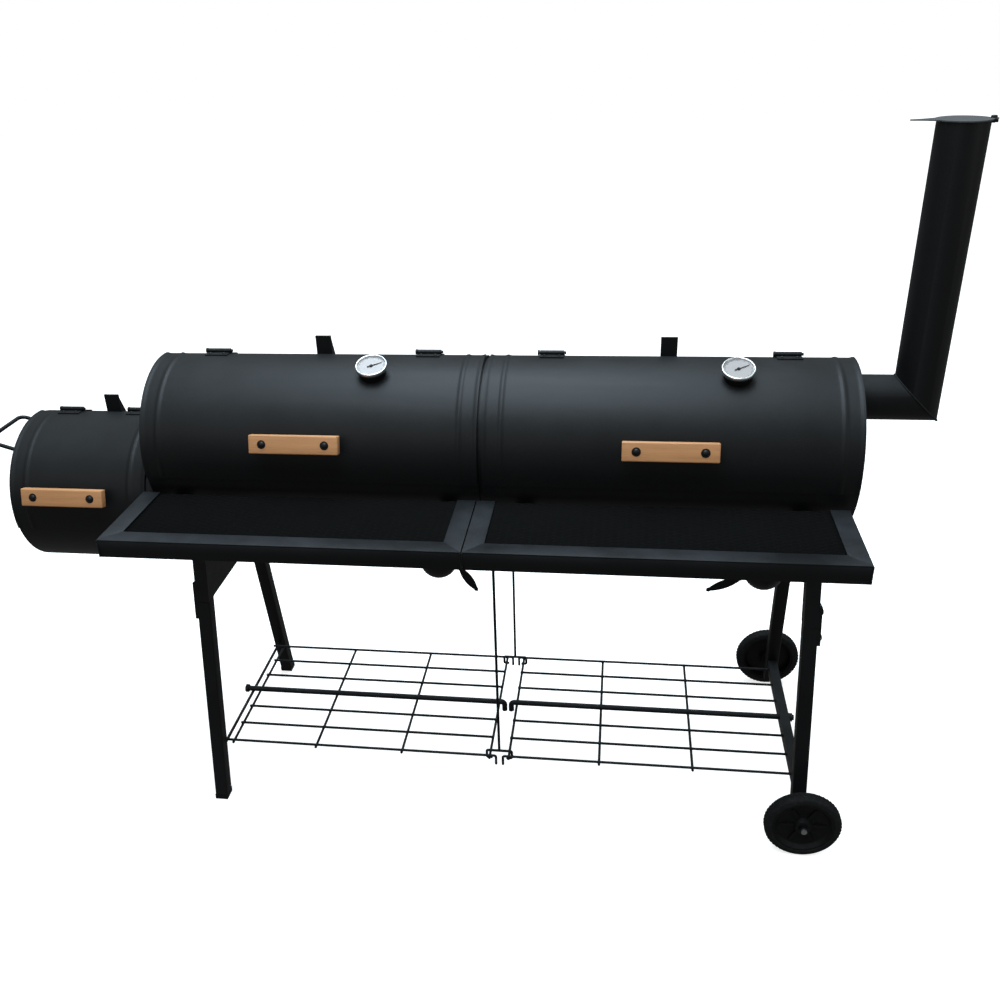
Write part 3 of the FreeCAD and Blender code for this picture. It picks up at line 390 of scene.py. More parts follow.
def join_piece(name: str, shape: Union["Blank", bpy.types.Mesh], finish: Union[Finish, Sequence[Finish]],
               body: str, replaced: Sequence[str] = (), crease: float = 34.0,
               place: Optional[Matrix] = None) -> None:
    """Makes a finished shape a piece that rides on a body.

    Args:
        name: The piece's name.
        shape: Its blank or its mesh.
        finish: Its finish, or one finish per material index.
        body: The body it moves with.
        replaced: CAD nodes that it stands for.
        crease: Edges sharper than this, in degrees, stay sharp.
        place: Where the shape goes, when it isn't in place already.
    """
    mesh = shape.mesh(name) if isinstance(shape, Blank) else shape
    if place is not None:
        mesh.transform(place)
    piece = bpy.data.objects.new(name, mesh)
    bpy.context.scene.collection.objects.link(piece)
    mesh.materials.clear()
    for item in [finish] if isinstance(finish, Finish) else finish:
        mesh.materials.append(item.material)
    mesh.shade_smooth()
    mesh.set_sharp_from_angle(angle=math.radians(crease))
    if replaced:
        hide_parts(*replaced)
    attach(piece, body)
    LOG.info("%s: %d faces on %s", name, len(mesh.polygons), body)


class Blank:
    """A mesh being built up from simple closed shapes."""

    def __init__(self) -> None:
        """Starts empty."""
        self.bm = bmesh.new()

    def block(self, low: Sequence[float], high: Sequence[float], finish: int = 0) -> list[bmesh.types.BMVert]:
        """Adds a box between two corners and gives its vertices."""
        low, high = Vector(low), Vector(high)
        made = bmesh.ops.create_cube(self.bm, size=1.0, matrix=Matrix.Translation((low + high) / 2)
                                     @ Matrix.Diagonal((*(high - low), 1.0)))
        self._mark(made["verts"], finish)
        return made["verts"]

    @staticmethod
    def _mark(verts: Iterable[bmesh.types.BMVert], finish: int) -> None:
        """Gives the faces around the vertices a material index."""
        for face in {face for vert in verts for face in vert.link_faces}:
            face.material_index = finish

    def loft(self, rings: Sequence[Sequence[Vector]], closed: bool = False, finish: int = 0,
             caps: bool = True) -> None:
        """Skins a row of rings that all have the same number of points.

        Args:
            rings: The rings, each a closed loop of points.
            closed: True when the last ring joins the first.
            finish: Material index of the new faces.
            caps: True to close both ends, when the row is open.
        """
        rows = [[self.bm.verts.new(point) for point in ring] for ring in rings]
        count = len(rows[0])
        pairs = list(zip(rows, rows[1:])) + ([(rows[-1], rows[0])] if closed else [])
        faces = []
        for one, two in pairs:
            for k in range(count):
                faces.append(self.bm.faces.new((one[k], one[(k + 1) % count], two[(k + 1) % count], two[k])))
        if caps and not closed:
            faces.append(self.bm.faces.new(list(reversed(rows[0]))))
            faces.append(self.bm.faces.new(rows[-1]))
        for face in faces:
            face.material_index = finish

    def lathe(self, outline: Sequence[tuple[float, float]], centre: Sequence[float] = (0, 0, 0),
              axis: Sequence[float] = (0, 0, 1), segments: int = 48, finish: int = 0) -> None:
        """Turns a closed outline of (height, radius) points about an axis through the centre."""
        turn = Vector(axis).normalized().to_track_quat("Z", "Y").to_matrix()
        rings = []
        for step in range(segments):
            angle = 2 * math.pi * step / segments
            across = Vector((math.cos(angle), math.sin(angle), 0))
            rings.append([Vector(centre) + turn @ (across * radius + Vector((0, 0, height)))
                          for height, radius in outline])
        self.loft(rings, closed=True, finish=finish)

    def prism(self, corners: Sequence[Sequence[float]], along: Sequence[float], finish: int = 0) -> None:
        """Pushes a flat outline along a vector."""
        low = [Vector(corner) for corner in corners]
        self.loft([low, [point + Vector(along) for point in low]], finish=finish)

    def sweep(self, path: Sequence[Sequence[float]], radius: float, sides: int = 14, finish: int = 0,
              closed: bool = False) -> None:
        """Sweeps a circle along a path of points, with level, square-cut ends."""
        points = [Vector(point) for point in path]
        count = len(points)
        side = Vector((0, 0, 1)) if abs((points[1] - points[0]).normalized().z) < 0.9 else Vector((1, 0, 0))
        rings = []
        for k, point in enumerate(points):
            before = points[(k - 1) % count] if closed or k else points[k]
            after = points[(k + 1) % count] if closed or k < count - 1 else points[k]
            along = (after - before).normalized()
            side = (side - along * side.dot(along)).normalized()
            other = along.cross(side)
            rings.append([point + (side * math.cos(a) + other * math.sin(a)) * radius
                          for a in (2 * math.pi * s / sides for s in range(sides))])
        self.loft(rings, closed=closed, finish=finish)

    def soften(self, width: float, segments: int = 2, sharper: float = 40.0) -> "Blank":
        """Rounds every edge sharper than an angle and gives the blank back."""
        edges = [edge for edge in self.bm.edges
                 if len(edge.link_faces) == 2 and edge.calc_face_angle(0) > math.radians(sharper)]
        bmesh.ops.bevel(self.bm, geom=edges, offset=width, segments=segments, profile=0.5, affect="EDGES",
                        clamp_overlap=True)
        return self

    def mesh(self, name: str) -> bpy.types.Mesh:
        """Merges doubles, turns the faces outwards and gives the mesh."""
        bmesh.ops.remove_doubles(self.bm, verts=self.bm.verts, dist=1e-6)
        bmesh.ops.dissolve_degenerate(self.bm, edges=self.bm.edges, dist=1e-7)
        bmesh.ops.recalc_face_normals(self.bm, faces=self.bm.faces)
        mesh = bpy.data.meshes.new(name)
        self.bm.to_mesh(mesh)
        self.bm.free()
        return mesh


def rounded(points: Sequence[Sequence[float]], bend: float, steps: int = 6) -> list[Vector]:
    """Rounds the corners of an open path.

    Args:
        points: The path's corners and ends.
        bend: Radius of each corner.
        steps: Points on each corner.

    Returns:
        The rounded path.
    """
    corners = [Vector(point) for point in points]
    path = [corners[0]]
    for before, corner, after in zip(corners, corners[1:], corners[2:]):
        into, out = (before - corner).normalized(), (after - corner).normalized()
        reach = min(bend / math.tan(into.angle(out) / 2), 0.49 * (before - corner).length,
                    0.49 * (after - corner).length)
        for k in range(steps + 1):
            t = k / steps
            path.append(corner + into * reach * (1 - t) ** 2 + out * reach * t ** 2)
    return path + [corners[-1]]


class Recipe(Bench):
    """A Geometry Nodes tree with named inputs, run once to make a plain mesh."""

    KINDS = {int: "NodeSocketInt", float: "NodeSocketFloat", tuple: "NodeSocketVector"}

    def __init__(self, name: str, **inputs: object) -> None:
        """Starts a tree.

        Args:
            name: The tree's name.
            inputs: Each named input's default; its type gives the socket's type.
        """
        super().__init__(bpy.data.node_groups.new(name, "GeometryNodeTree"))
        face = self.tree.interface
        face.new_socket("Geometry", in_out="INPUT", socket_type="NodeSocketGeometry")
        face.new_socket("Geometry", in_out="OUTPUT", socket_type="NodeSocketGeometry")
        self.keys = {}
        for label, value in inputs.items():
            item = face.new_socket(label, in_out="INPUT", socket_type=self.KINDS[type(value)])
            item.default_value = value
            self.keys[label] = item.identifier
        self.keys["material"] = face.new_socket("material", in_out="INPUT",
                                                socket_type="NodeSocketMaterial").identifier
        self.entry = self.tree.nodes.new("NodeGroupInput")

    def given(self, label: str) -> Wire:
        """One of the tree's inputs, or the Geometry that goes into it."""
        return Wire(self, self.entry.outputs[label])

    def geo(self, kind: str, settings: Optional[dict] = None, **values: object) -> Wire:
        """Adds a geometry node; the spaces in its inputs' names are underscores."""
        return self.take("GeometryNode" + kind, settings,
                         {key.replace("_", " "): value for key, value in values.items()})

    def gathered(self, kind: str, *parts: Wire) -> Wire:
        """Links several geometries into the one socket of a geometry node."""
        node = self.node("GeometryNode" + kind)
        for part in parts:
            self.tree.links.new(part.socket, node.inputs[0])
        return Wire(self, node.outputs[0])

    def moved(self, shape: Wire, by: Union[Wire, Triple]) -> Wire:
        """Moves a geometry."""
        return self.geo("Transform", Geometry=shape, Translation=by)

    def stored(self, label: str) -> Wire:
        """A vector kept on the points."""
        return self.geo("InputNamedAttribute", {"data_type": "FLOAT_VECTOR"}, Name=label)

    def chance(self, low: float, high: float) -> Wire:
        """A random number for each point, drawn from the tree's seed."""
        return self.take("FunctionNodeRandomValue", {"data_type": "FLOAT"},
                         {2: low, 3: high, "Seed": self.given("seed")}, 1)

    def facing(self, vector: Wire) -> Wire:
        """The turn that points Z along a vector."""
        return self.take("FunctionNodeAlignRotationToVector", {"axis": "Z"}, {"Vector": vector})

    def spun(self, angle: Wire) -> Wire:
        """A turn about Z."""
        return self.take("FunctionNodeEulerToRotation", None, {0: self.vector(0.0, 0.0, angle)})

    def close(self, geometry: Wire) -> None:
        """Ends the tree: real geometry with the material on it."""
        real = self.geo("RealizeInstances", Geometry=geometry)
        dressed = self.geo("SetMaterial", Geometry=real, Material=self.given("material"))
        exit_node = self.tree.nodes.new("NodeGroupOutput")
        self.tree.links.new(dressed.socket, exit_node.inputs[0])

    def run(self, name: str, finish: Finish, start: Optional[bpy.types.Mesh] = None,
            **values: object) -> bpy.types.Mesh:
        """Runs the tree and gives its result as a plain mesh.

        Args:
            name: The mesh's name.
            finish: The finish of everything it makes.
            start: What goes into the tree, such as the points to work on.
            values: Input values that differ from the defaults.

        Returns:
            The mesh.
        """
        host = bpy.data.objects.new(name, start or bpy.data.meshes.new(name))
        bpy.context.scene.collection.objects.link(host)
        modifier = host.modifiers.new(name, "NODES")
        modifier.node_group = self.tree
        modifier[self.keys["material"]] = finish.material
        for label, value in values.items():
            modifier[self.keys[label]] = value
        bpy.context.view_layer.update()
        seen = host.evaluated_get(bpy.context.evaluated_depsgraph_get())
        mesh = bpy.data.meshes.new_from_object(seen)
        host.modifiers.clear()
        bpy.data.objects.remove(host)
        mesh.name = name
        return mesh


def points_mesh(name: str, places: Sequence[Sequence[float]],
                **attributes: Sequence[Sequence[float]]) -> bpy.types.Mesh:
    """A mesh of loose vertices, with vector attributes, for a tree to work on."""
    mesh = bpy.data.meshes.new(name)
    mesh.from_pydata([tuple(place) for place in places], [], [])
    for label, rows in attributes.items():
        layer = mesh.attributes.new(label, "FLOAT_VECTOR", "POINT")
        layer.data.foreach_set("vector", [number for row in rows for number in row])
    return mesh


# ------------------------------------------------------------------ places

def solids(node: str) -> list[tuple[Vector, Vector]]:
    """Finds the separate solids of a CAD node.

    Args:
        node: The node's name.

    Returns:
        Each solid's lowest and highest corner, from left to right.
    """
    work = bmesh.new()
    work.from_mesh(frame["nodes"][node].data)
    bmesh.ops.remove_doubles(work, verts=work.verts, dist=1e-5)
    seen, boxes = set(), []
    for start in work.verts:
        if start in seen:
            continue
        seen.add(start)
        island, edge = [start], [start]
        while edge:
            for link in edge.pop().link_edges:
                for vert in link.verts:
                    if vert not in seen:
                        seen.add(vert)
                        island.append(vert)
                        edge.append(vert)
        boxes.append((Vector(min(v.co[k] for v in island) for k in range(3)),
                      Vector(max(v.co[k] for v in island) for k in range(3))))
    work.free()
    return sorted(boxes, key=lambda pair: round(pair[0].x, 4))


def middle(pair: tuple[Vector, Vector]) -> Vector:
    """The middle of a box."""
    return (pair[0] + pair[1]) / 2


@dataclass(frozen=True)
class Barrel:
    """One barrel's place: the ends of its axis and the radius of its shell."""

    name: str
    x0: float
    x1: float
    y: float
    z: float
    skin: float

    @classmethod
    def read(cls, name: str, ends: str) -> "Barrel":
        """Reads a barrel's place from the CAD node of its end discs."""
        low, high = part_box(ends)
        return cls(name, low.x, high.x, (low.y + high.y) / 2, (low.z + high.z) / 2, (high.z - low.z) / 2)

    @property
    def lid(self) -> float:
        """The outside radius of the lid."""
        return self.skin + 0.0025

    def at(self, x: float, angle: float, radius: float) -> Vector:
        """A point at an angle in degrees above the front of the barrel."""
        turn = math.radians(angle)
        return Vector((x, self.y - radius * math.cos(turn), self.z + radius * math.sin(turn)))

    def outward(self, angle: float) -> Vector:
        """The direction away from the axis at an angle."""
        turn = math.radians(angle)
        return Vector((0, -math.cos(turn), math.sin(turn)))

    def stand(self, x: float, angle: float, radius: float) -> Matrix:
        """A matrix that lays a flat drawing on the barrel: X along it, Y up round it, Z outwards."""
        out = self.outward(angle)
        up = Vector((1, 0, 0)).cross(out) * -1
        return Matrix.Translation(self.at(x, angle, radius)) @ Matrix(
            ((1, up.x, out.x), (0, up.y, out.y), (0, up.z, out.z))).to_4x4()

    def plate(self, blank: Blank, across: tuple[float, float], deep: tuple[float, float],
              around: tuple[float, float], steps: int = 8) -> None:
        """Adds a curved plate that lies on the barrel.

        Args:
            blank: The mesh that gets it.
            across: Its x limits.
            deep: Its radius limits.
            around: Its angle limits in degrees.
            steps: Steps between the angles.
        """
        rings = []
        for k in range(steps + 1):
            angle = around[0] + (around[1] - around[0]) * k / steps
            corners = zip((across[0], across[1], across[1], across[0]), (deep[0], deep[0], deep[1], deep[1]))
            rings.append([self.at(x, angle, r) for x, r in corners])
        blank.loft(rings)


# ------------------------------------------------------------------ recipes

BEAD_SPREAD = 0.0035
HEM_SPREAD = 0.0065
WASHER_LAP = 0.02
LUMP_FLATTEN = 0.72


def sheet_recipe() -> Recipe:
    """Rolled sheet steel: an arc of tube with beads and rolled hems at its ends."""
    r = Recipe("rolled_sheet", left=0.0, right=1.0, axis_y=0.0, axis_z=0.0, radius=0.1, low=0.0, high=1.0,
               thickness=0.002, bead_rise=0.0, bead_inset=0.038, hem_rise=0.0, along=60, around=40)
    g = r.given
    grid = r.geo("MeshGrid", Size_X=1.0, Size_Y=1.0, Vertices_X=g("along"), Vertices_Y=g("around"))
    u, v, _ = r.split(r.geo("InputPosition"))
    x = g("left") + (u + 0.5) * (g("right") - g("left"))
    angle = g("low") + (v + 0.5) * (g("high") - g("low"))
    edge = r.math("MINIMUM", x - g("left"), g("right") - x)
    bead = r.math("EXPONENT", 0.0 - ((edge - g("bead_inset")) / BEAD_SPREAD) ** 2.0)
    hem = r.math("EXPONENT", 0.0 - (edge / HEM_SPREAD) ** 4.0)
    deep = g("radius") - g("thickness") + bead * g("bead_rise") + hem * g("hem_rise")
    place = r.vector(x, g("axis_y") - deep * r.math("COSINE", angle),
                     g("axis_z") + deep * r.math("SINE", angle))
    inner = r.geo("SetPosition", Geometry=grid, Position=place)
    outer = r.geo("ExtrudeMesh", {"mode": "FACES"}, Mesh=inner, Offset_Scale=g("thickness"), Individual=False)
    back = r.geo("FlipFaces", Mesh=inner)
    r.close(r.geo("MergeByDistance", Geometry=r.gathered("JoinGeometry", outer, back), Distance=1e-6))
    return r


def expanded_metal_recipe() -> Recipe:
    """Expanded metal: tilted zigzag strands that touch their shifted neighbours at short bonds."""
    r = Recipe("expanded_metal", corner=(0.0, 0.0, 0.0), columns=20, rows=10, pitch_x=0.03, pitch_y=0.014,
               bond=0.005, strand=0.0026, thickness=0.0016, tilt=0.5)
    g = r.given
    line = r.geo("MeshLine", Count=g("columns") * 4.0 + 2.0)
    index = r.geo("InputIndex")
    phase = r.math("FLOORED_MODULO", index, 4.0)
    high = r.math("FLOOR", phase / 2.0)
    late = phase - high * 2.0
    x = (r.math("FLOOR", index / 4.0) + high * 0.5) * g("pitch_x") + late * g("bond")
    y = g("strand") * 0.42 + high * (g("pitch_y") * 0.5 - g("strand") * 0.84)
    bent = r.geo("SetPosition", Geometry=line, Position=r.vector(x, y, 0.0))
    curve = r.geo("MeshToCurve", Mesh=bent)
    curve = r.geo("SetCurveNormal", {"mode": "Z_UP"}, Curve=curve)
    curve = r.geo("SetCurveTilt", Curve=curve, Tilt=g("tilt"))
    section = r.geo("CurvePrimitiveQuadrilateral", Width=g("strand"), Height=g("thickness"))
    strand = r.geo("CurveToMesh", Curve=curve, Profile_Curve=section, Fill_Caps=True)
    other = r.moved(strand, r.vector(g("pitch_x") * 0.5, g("pitch_y") * 0.5, 0.0))
    pair = r.gathered("GeometryToInstance", strand, other)
    column = r.geo("MeshLine", Count=g("rows"), Offset=r.vector(0.0, g("pitch_y"), 0.0))
    r.close(r.moved(r.geo("InstanceOnPoints", Points=column, Instance=pair), g("corner")))
    return r


def wires_recipe() -> Recipe:
    """Straight wires, one from each point along its vector."""
    r = Recipe("straight_wires", radius=0.0025, sides=12)
    g, span = r.given, r.stored("span")
    length = r.take("ShaderNodeVectorMath", {"operation": "LENGTH"}, {0: span}, "Value")
    unit = r.geo("MeshCylinder", {"fill_type": "NGON"}, Vertices=g("sides"), Radius=1.0, Depth=1.0)
    unit = r.moved(unit, (0.0, 0.0, 0.5))
    points = r.geo("MeshToPoints", Mesh=g("Geometry"))
    r.close(r.geo("InstanceOnPoints", Points=points, Instance=unit, Rotation=r.facing(span),
                  Scale=r.vector(g("radius"), g("radius"), length)))
    return r


def heads_recipe() -> Recipe:
    """Domed heads on washers, or on hexagon nuts, one on each point along its vector."""
    r = Recipe("bolt_heads", washer_width=1.35, washer_height=0.22, washer_sides=24, seed=7)
    g = r.given
    turn = r.take("FunctionNodeRotateRotation", {"rotation_space": "LOCAL"},
                  {0: r.facing(r.stored("way")), 1: r.spun(r.chance(0.0, 6.28))})
    ball = r.geo("MeshUVSphere", Segments=24, Rings=12, Radius=1.0)
    x, y, z = r.split(r.geo("InputPosition"))
    dome = r.geo("SetPosition", Geometry=ball,
                 Position=r.vector(x, y, r.math("MAXIMUM", z, 0.0) + g("washer_height")))
    washer = r.geo("MeshCylinder", {"fill_type": "NGON"}, Vertices=g("washer_sides"),
                   Radius=g("washer_width"), Depth=g("washer_height") + WASHER_LAP)
    washer = r.moved(washer, r.vector(0.0, 0.0, g("washer_height") * 0.5 + WASHER_LAP / 2))
    points = r.geo("MeshToPoints", Mesh=g("Geometry"))
    r.close(r.geo("InstanceOnPoints", Points=points, Instance=r.gathered("GeometryToInstance", dome, washer),
                  Rotation=turn, Scale=r.stored("size")))
    return r


def weld_recipe() -> Recipe:
    """A weld: flattened, overlapping lumps along a path of edges."""
    r = Recipe("weld_bead", width=0.0035, step=0.003, seed=3)
    curve = r.geo("MeshToCurve", Mesh=r.given("Geometry"))
    points = r.node("GeometryNodeCurveToPoints", {"mode": "LENGTH"},
                    {"Curve": curve, "Length": r.given("step")})
    lump = r.geo("MeshIcoSphere", Radius=r.given("width"), Subdivisions=2)
    lump = r.geo("Transform", Geometry=lump, Scale=(1.0, 1.0, LUMP_FLATTEN))
    r.close(r.geo("InstanceOnPoints", Points=Wire(r, points.outputs["Points"]), Instance=lump,
                  Rotation=Wire(r, points.outputs["Rotation"]), Scale=r.chance(0.8, 1.12)))
    return r


def ring_recipe() -> Recipe:
    """Small blocks set round a circle, such as tread ribs or the marks of a dial."""
    r = Recipe("ring_of_blocks", count=30, radius=0.07, first=0.0, sweep=6.2832, length=0.004, width=0.002,
               height=0.01, skew=0.0)
    g = r.given
    line = r.geo("MeshLine", Count=g("count"))
    angle = g("first") + r.geo("InputIndex") * (g("sweep") / g("count"))
    place = r.vector(g("radius") * r.math("COSINE", angle), g("radius") * r.math("SINE", angle), 0.0)
    placed = r.geo("SetPosition", Geometry=line, Position=place)
    block = r.geo("MeshCube", Size=r.vector(g("length"), g("width"), g("height")))
    block = r.geo("Transform", Geometry=block, Rotation=r.vector(g("skew"), 0.0, 0.0))
    r.close(r.geo("InstanceOnPoints", Points=placed, Instance=block, Rotation=r.spun(angle)))
    return r


@dataclass
class Workshop:
    """Every recipe, made once and shared by the sub-assemblies."""

    sheet: Recipe
    mesh: Recipe
    wires: Recipe
    heads: Recipe
    weld: Recipe
    ring: Recipe

    @classmethod
    def open(cls) -> "Workshop":
        """Builds all the trees."""
        return cls(sheet_recipe(), expanded_metal_recipe(), wires_recipe(), heads_recipe(), weld_recipe(),
                   ring_recipe())

    def add_heads(self, name: str, finish: Finish, places: Sequence[tuple[Vector, Vector, float, float]],
                  body: str, slot: str, replaced: Sequence[str] = (), hexagon: bool = False) -> None:
        """Adds a piece of bolt heads.

        Args:
            name: The piece's name.
            finish: Their finish.
            places: For each head, its seat, its direction, its radius and its height.
            body: The body it moves with.
            slot: The record's material slot; not used.
            replaced: CAD nodes that it stands for.
            hexagon: True for a six-sided nut under a smaller dome.
        """
        start = points_mesh(name, [seat for seat, _, _, _ in places], way=[way for _, way, _, _ in places],
                            size=[(wide, wide, tall) for _, _, wide, tall in places])
        nut = {"washer_sides": 6, "washer_width": 1.7, "washer_height": 0.9} if hexagon else {}
        join_piece(name, self.heads.run(name, finish, start, **nut), finish, body, replaced)

    def add_weld(self, name: str, finish: Finish, paths: Sequence[Sequence[Vector]], width: float,
                 slot: str = "frame_paint") -> None:
        """Adds a piece of weld beads on the frame, along open or closed paths of points."""
        mesh = bpy.data.meshes.new(name)
        places, edges = [], []
        for path in paths:
            first = len(places)
            places += [tuple(point) for point in path]
            edges += [(k, k + 1) for k in range(first, len(places) - 1)]
        mesh.from_pydata(places, edges, [])
        mesh = self.weld.run(name, finish, mesh, width=width, step=width * 0.8)
        join_piece(name, mesh, finish, "frame")


# ------------------------------------------------------------------ sub-assemblies

@dataclass
class Lid:
    """A hinged lid: beaded sheet, hinge leaves with rivets, wood grip and its bolts."""

    shop: Workshop
    barrel: Barrel
    name: str
    low: float = -12.0
    high: float = 98.6
    thickness: float = 0.002
    grid_step: float = 0.0030
    leaf_half: float = 0.025
    leaf_span: tuple[float, float] = (91.0, 97.0)
    leaf_thickness: float = 0.0025
    rivet_angle: float = 94.0
    knuckle_half: float = 0.0083
    knuckle_radius: float = 0.005
    pin_radius: float = 0.003
    grip_angle: float = 16.0
    grip_standoff: float = 0.017
    grip_depth: float = 0.018
    grip_height: float = 0.038
    head_radius: float = 0.0066

    @property
    def body(self) -> str:
        """The body that the lid's pieces ride on."""
        return self.name + "_lid"

    def build(self) -> None:
        """Builds and dresses every piece."""
        self.build_sheet()
        self.build_leaves()
        self.build_grip()
        self.build_bolts()

    def build_sheet(self) -> None:
        """The rolled sheet with two beads and a hem at each end."""
        b, (low, high) = self.barrel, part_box(self.body)
        mesh = self.shop.sheet.run(
            self.body + "_sheet", Finish.BARREL, left=low.x, right=high.x, axis_y=b.y, axis_z=b.z,
            radius=b.lid, low=math.radians(self.low), high=math.radians(self.high), thickness=self.thickness,
            bead_rise=0.0022, bead_inset=0.037, hem_rise=0.0018,
            along=int((high.x - low.x) / self.grid_step), around=64)
        join_piece(self.body + "_sheet", mesh, Finish.BARREL, self.body, [self.body])

    def build_leaves(self) -> None:
        """The lid's hinge leaves, their rivets and the middle knuckles."""
        b, half, blank, rivets = self.barrel, self.knuckle_half, Blank(), []
        hinge = next(Vector(j["pos_m"]) for j in frame["joints"] if j["name"] == self.body + "_hinge")
        top = b.lid + self.leaf_thickness
        for pin in solids("hinge_pins"):
            x = middle(pin).x + 0.0005
            if not b.x0 < x < b.x1:
                continue
            b.plate(blank, (x - self.leaf_half, x + self.leaf_half), (b.lid - 0.0002, top), self.leaf_span)
            b.plate(blank, (x - half, x + half), (b.lid, top), (self.leaf_span[1] - 0.5, 98.4), 2)
            blank.lathe([(-half, self.pin_radius), (half, self.pin_radius), (half, self.knuckle_radius),
                         (-half, self.knuckle_radius)], (x, hinge.y, hinge.z), (1, 0, 0), 24)
            rivets += [(b.at(x + side * 0.015, self.rivet_angle, top - 0.0001), b.outward(self.rivet_angle),
                        0.0034, 0.0022) for side in (-1, 1)]
        join_piece(self.body + "_leaves", blank.soften(0.0005), Finish.BARREL, self.body)
        self.shop.add_heads(self.body + "_rivets", Finish.FRAME, rivets, self.body, "black_paint")

    def build_grip(self) -> None:
        """The rounded wood block."""
        low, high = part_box(self.name + "_grip")
        across, up = (high.x - low.x) / 2, self.grip_height / 2
        blank = Blank()
        blank.block((-across, -up, 0), (across, up, self.grip_depth))
        seat = self.barrel.stand((low.x + high.x) / 2, self.grip_angle, self.barrel.lid + self.grip_standoff)
        join_piece(self.name + "_grip_wood", blank.soften(0.0026, 4), Finish.WOOD, self.body,
                   [self.name + "_grip"], place=seat)

    def build_bolts(self) -> None:
        """Domed bolts on dark washers, spacers behind the wood, nuts inside the lid."""
        b, r, reach = self.barrel, self.head_radius, self.grip_standoff
        out = b.outward(self.grip_angle)
        low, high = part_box(self.name + "_grip_bolts")
        places = (low.x + r, high.x - r)
        front = b.lid + reach + self.grip_depth - 0.0004
        self.shop.add_heads(self.name + "_grip_heads", Finish.BLACK_BOLT,
                            [(b.at(x, self.grip_angle, front), out, r, 0.0036) for x in places],
                            self.body, "grip_bolt", [self.name + "_grip_bolts"])
        back = b.lid - self.thickness
        self.shop.add_heads(self.name + "_grip_nuts", Finish.BOLT,
                            [(b.at(x, self.grip_angle, back), out * -1, 0.0033, 0.0035) for x in places],
                            self.body, "grip_bolt", hexagon=True)
        blank = Blank()
        for x in places:
            blank.lathe([(0, 0.003), (reach, 0.003), (reach, 0.0062), (reach - 0.003, r), (0.003, r),
                         (0, 0.0062)], b.at(x, self.grip_angle, b.lid), out, 24)
        join_piece(self.name + "_grip_spacers", blank, Finish.FRAME, self.body)


@dataclass
class Thermometer:
    """A dial thermometer: collar, bright bezel, printed face, marks and needle."""

    shop: Workshop
    barrel: Barrel
    name: str
    angle: float = 68.0
    collar: float = 0.027
    collar_height: float = 0.015
    dial: float = 0.033
    dial_height: float = 0.009
    recess: float = 0.0045
    stem_length: float = 0.0525
    needle_rest: float = 62.0
    print_depth: float = 0.0003

    def add(self, label: str, shape: Union[Blank, bpy.types.Mesh], finish: Union[Finish, Sequence[Finish]],
            slot: str = "dial_case", crease: float = 34.0) -> None:
        """Lays a flat shape on the lid, at the dial, as a piece."""
        replaced = {"bezel": ["thermometer"], "pointer": ["needle"]}.get(label, ())
        x = middle(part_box(self.name + "_thermometer")).x
        join_piece(f"{self.name}_{label}", shape, finish,
                   self.name + ("_needle" if label == "pointer" else "_lid"),
                   [f"{self.name}_{node}" for node in replaced], crease,
                   self.barrel.stand(x, self.angle, self.barrel.lid))

    def build(self) -> None:
        """Builds and dresses every piece."""
        base, top = self.collar_height, self.collar_height + self.dial_height
        r, lip, face = self.dial, self.dial - 0.0038, top - self.recess
        blank = Blank()
        blank.lathe([(base - 0.0005, 0.0001), (base - 0.0005, r - 0.003), (base + 0.001, r - 0.0008),
                     (base + 0.0025, r), (top - 0.002, r), (top - 0.0006, r - 0.0006), (top, r - 0.002),
                     (top - 0.0003, lip + 0.0004), (top - 0.0016, lip - 0.0003), (face, lip - 0.0006),
                     (face, 0.0001)], segments=64)
        self.add("bezel", blank, Finish.BEZEL, crease=50)
        blank = Blank()
        blank.lathe([(-0.004, 0.005), (base - 0.0004, 0.005), (base - 0.0004, self.collar),
                     (0.0025, self.collar + 0.0006), (-0.004, self.collar + 0.0006)])
        blank.lathe([(-0.006 - self.stem_length, 0.0005), (-0.055, 0.0038), (base - 0.001, 0.004),
                     (base - 0.001, 0.0005)], segments=24, finish=1)
        self.add("collar", blank, [Finish.FRAME, Finish.BOLT])
        blank, printed = Blank(), face + self.print_depth
        blank.lathe([(face - 0.0005, 0.0001), (face - 0.0005, lip), (printed, lip), (printed, 0.0001)],
                    segments=64)
        self.add("dial", blank, Finish.DIAL)
        self.build_marks(printed, lip)
        self.build_needle(face + 0.001)

    def build_marks(self, face: float, lip: float) -> None:
        """The printed scale: fine marks and longer marks."""
        for label, count, length, width in (("fine_marks", 50, 0.0016, 0.0003),
                                            ("long_marks", 10, 0.0034, 0.0007)):
            mesh = self.shop.ring.run(f"{self.name}_{label}", Finish.PRINT, count=count, length=length,
                                      width=width, radius=lip - 0.0022 - length / 2, height=self.print_depth,
                                      first=math.radians(-47), sweep=math.radians(274))
            mesh.transform(Matrix.Translation((0, 0, face)))
            self.add(label, mesh, Finish.PRINT, "needle")

    def build_needle(self, height: float) -> None:
        """The pointer and its hub."""
        blank, rise = Blank(), (0, 0, 0.0008)
        blank.prism([(-0.0011, 0, 0), (-0.0003, 0.0235, 0), (0.0003, 0.0235, 0), (0.0011, 0, 0)], rise)
        blank.prism([(-0.001, 0, 0), (0.001, 0, 0), (0.0015, -0.0085, 0), (-0.0015, -0.0085, 0)], rise)
        blank.lathe([(0, 0.0013), (0, 0.0036), (0.0011, 0.0034), (0.0016, 0.0028), (0.0016, 0.0013)],
                    segments=24)
        mesh = blank.mesh(self.name + "_pointer")
        turn = Matrix.Rotation(math.radians(-self.needle_rest), 4, "Z")
        mesh.transform(Matrix.Translation((0, 0, height)) @ turn)
        self.add("pointer", mesh, Finish.NEEDLE, "needle")


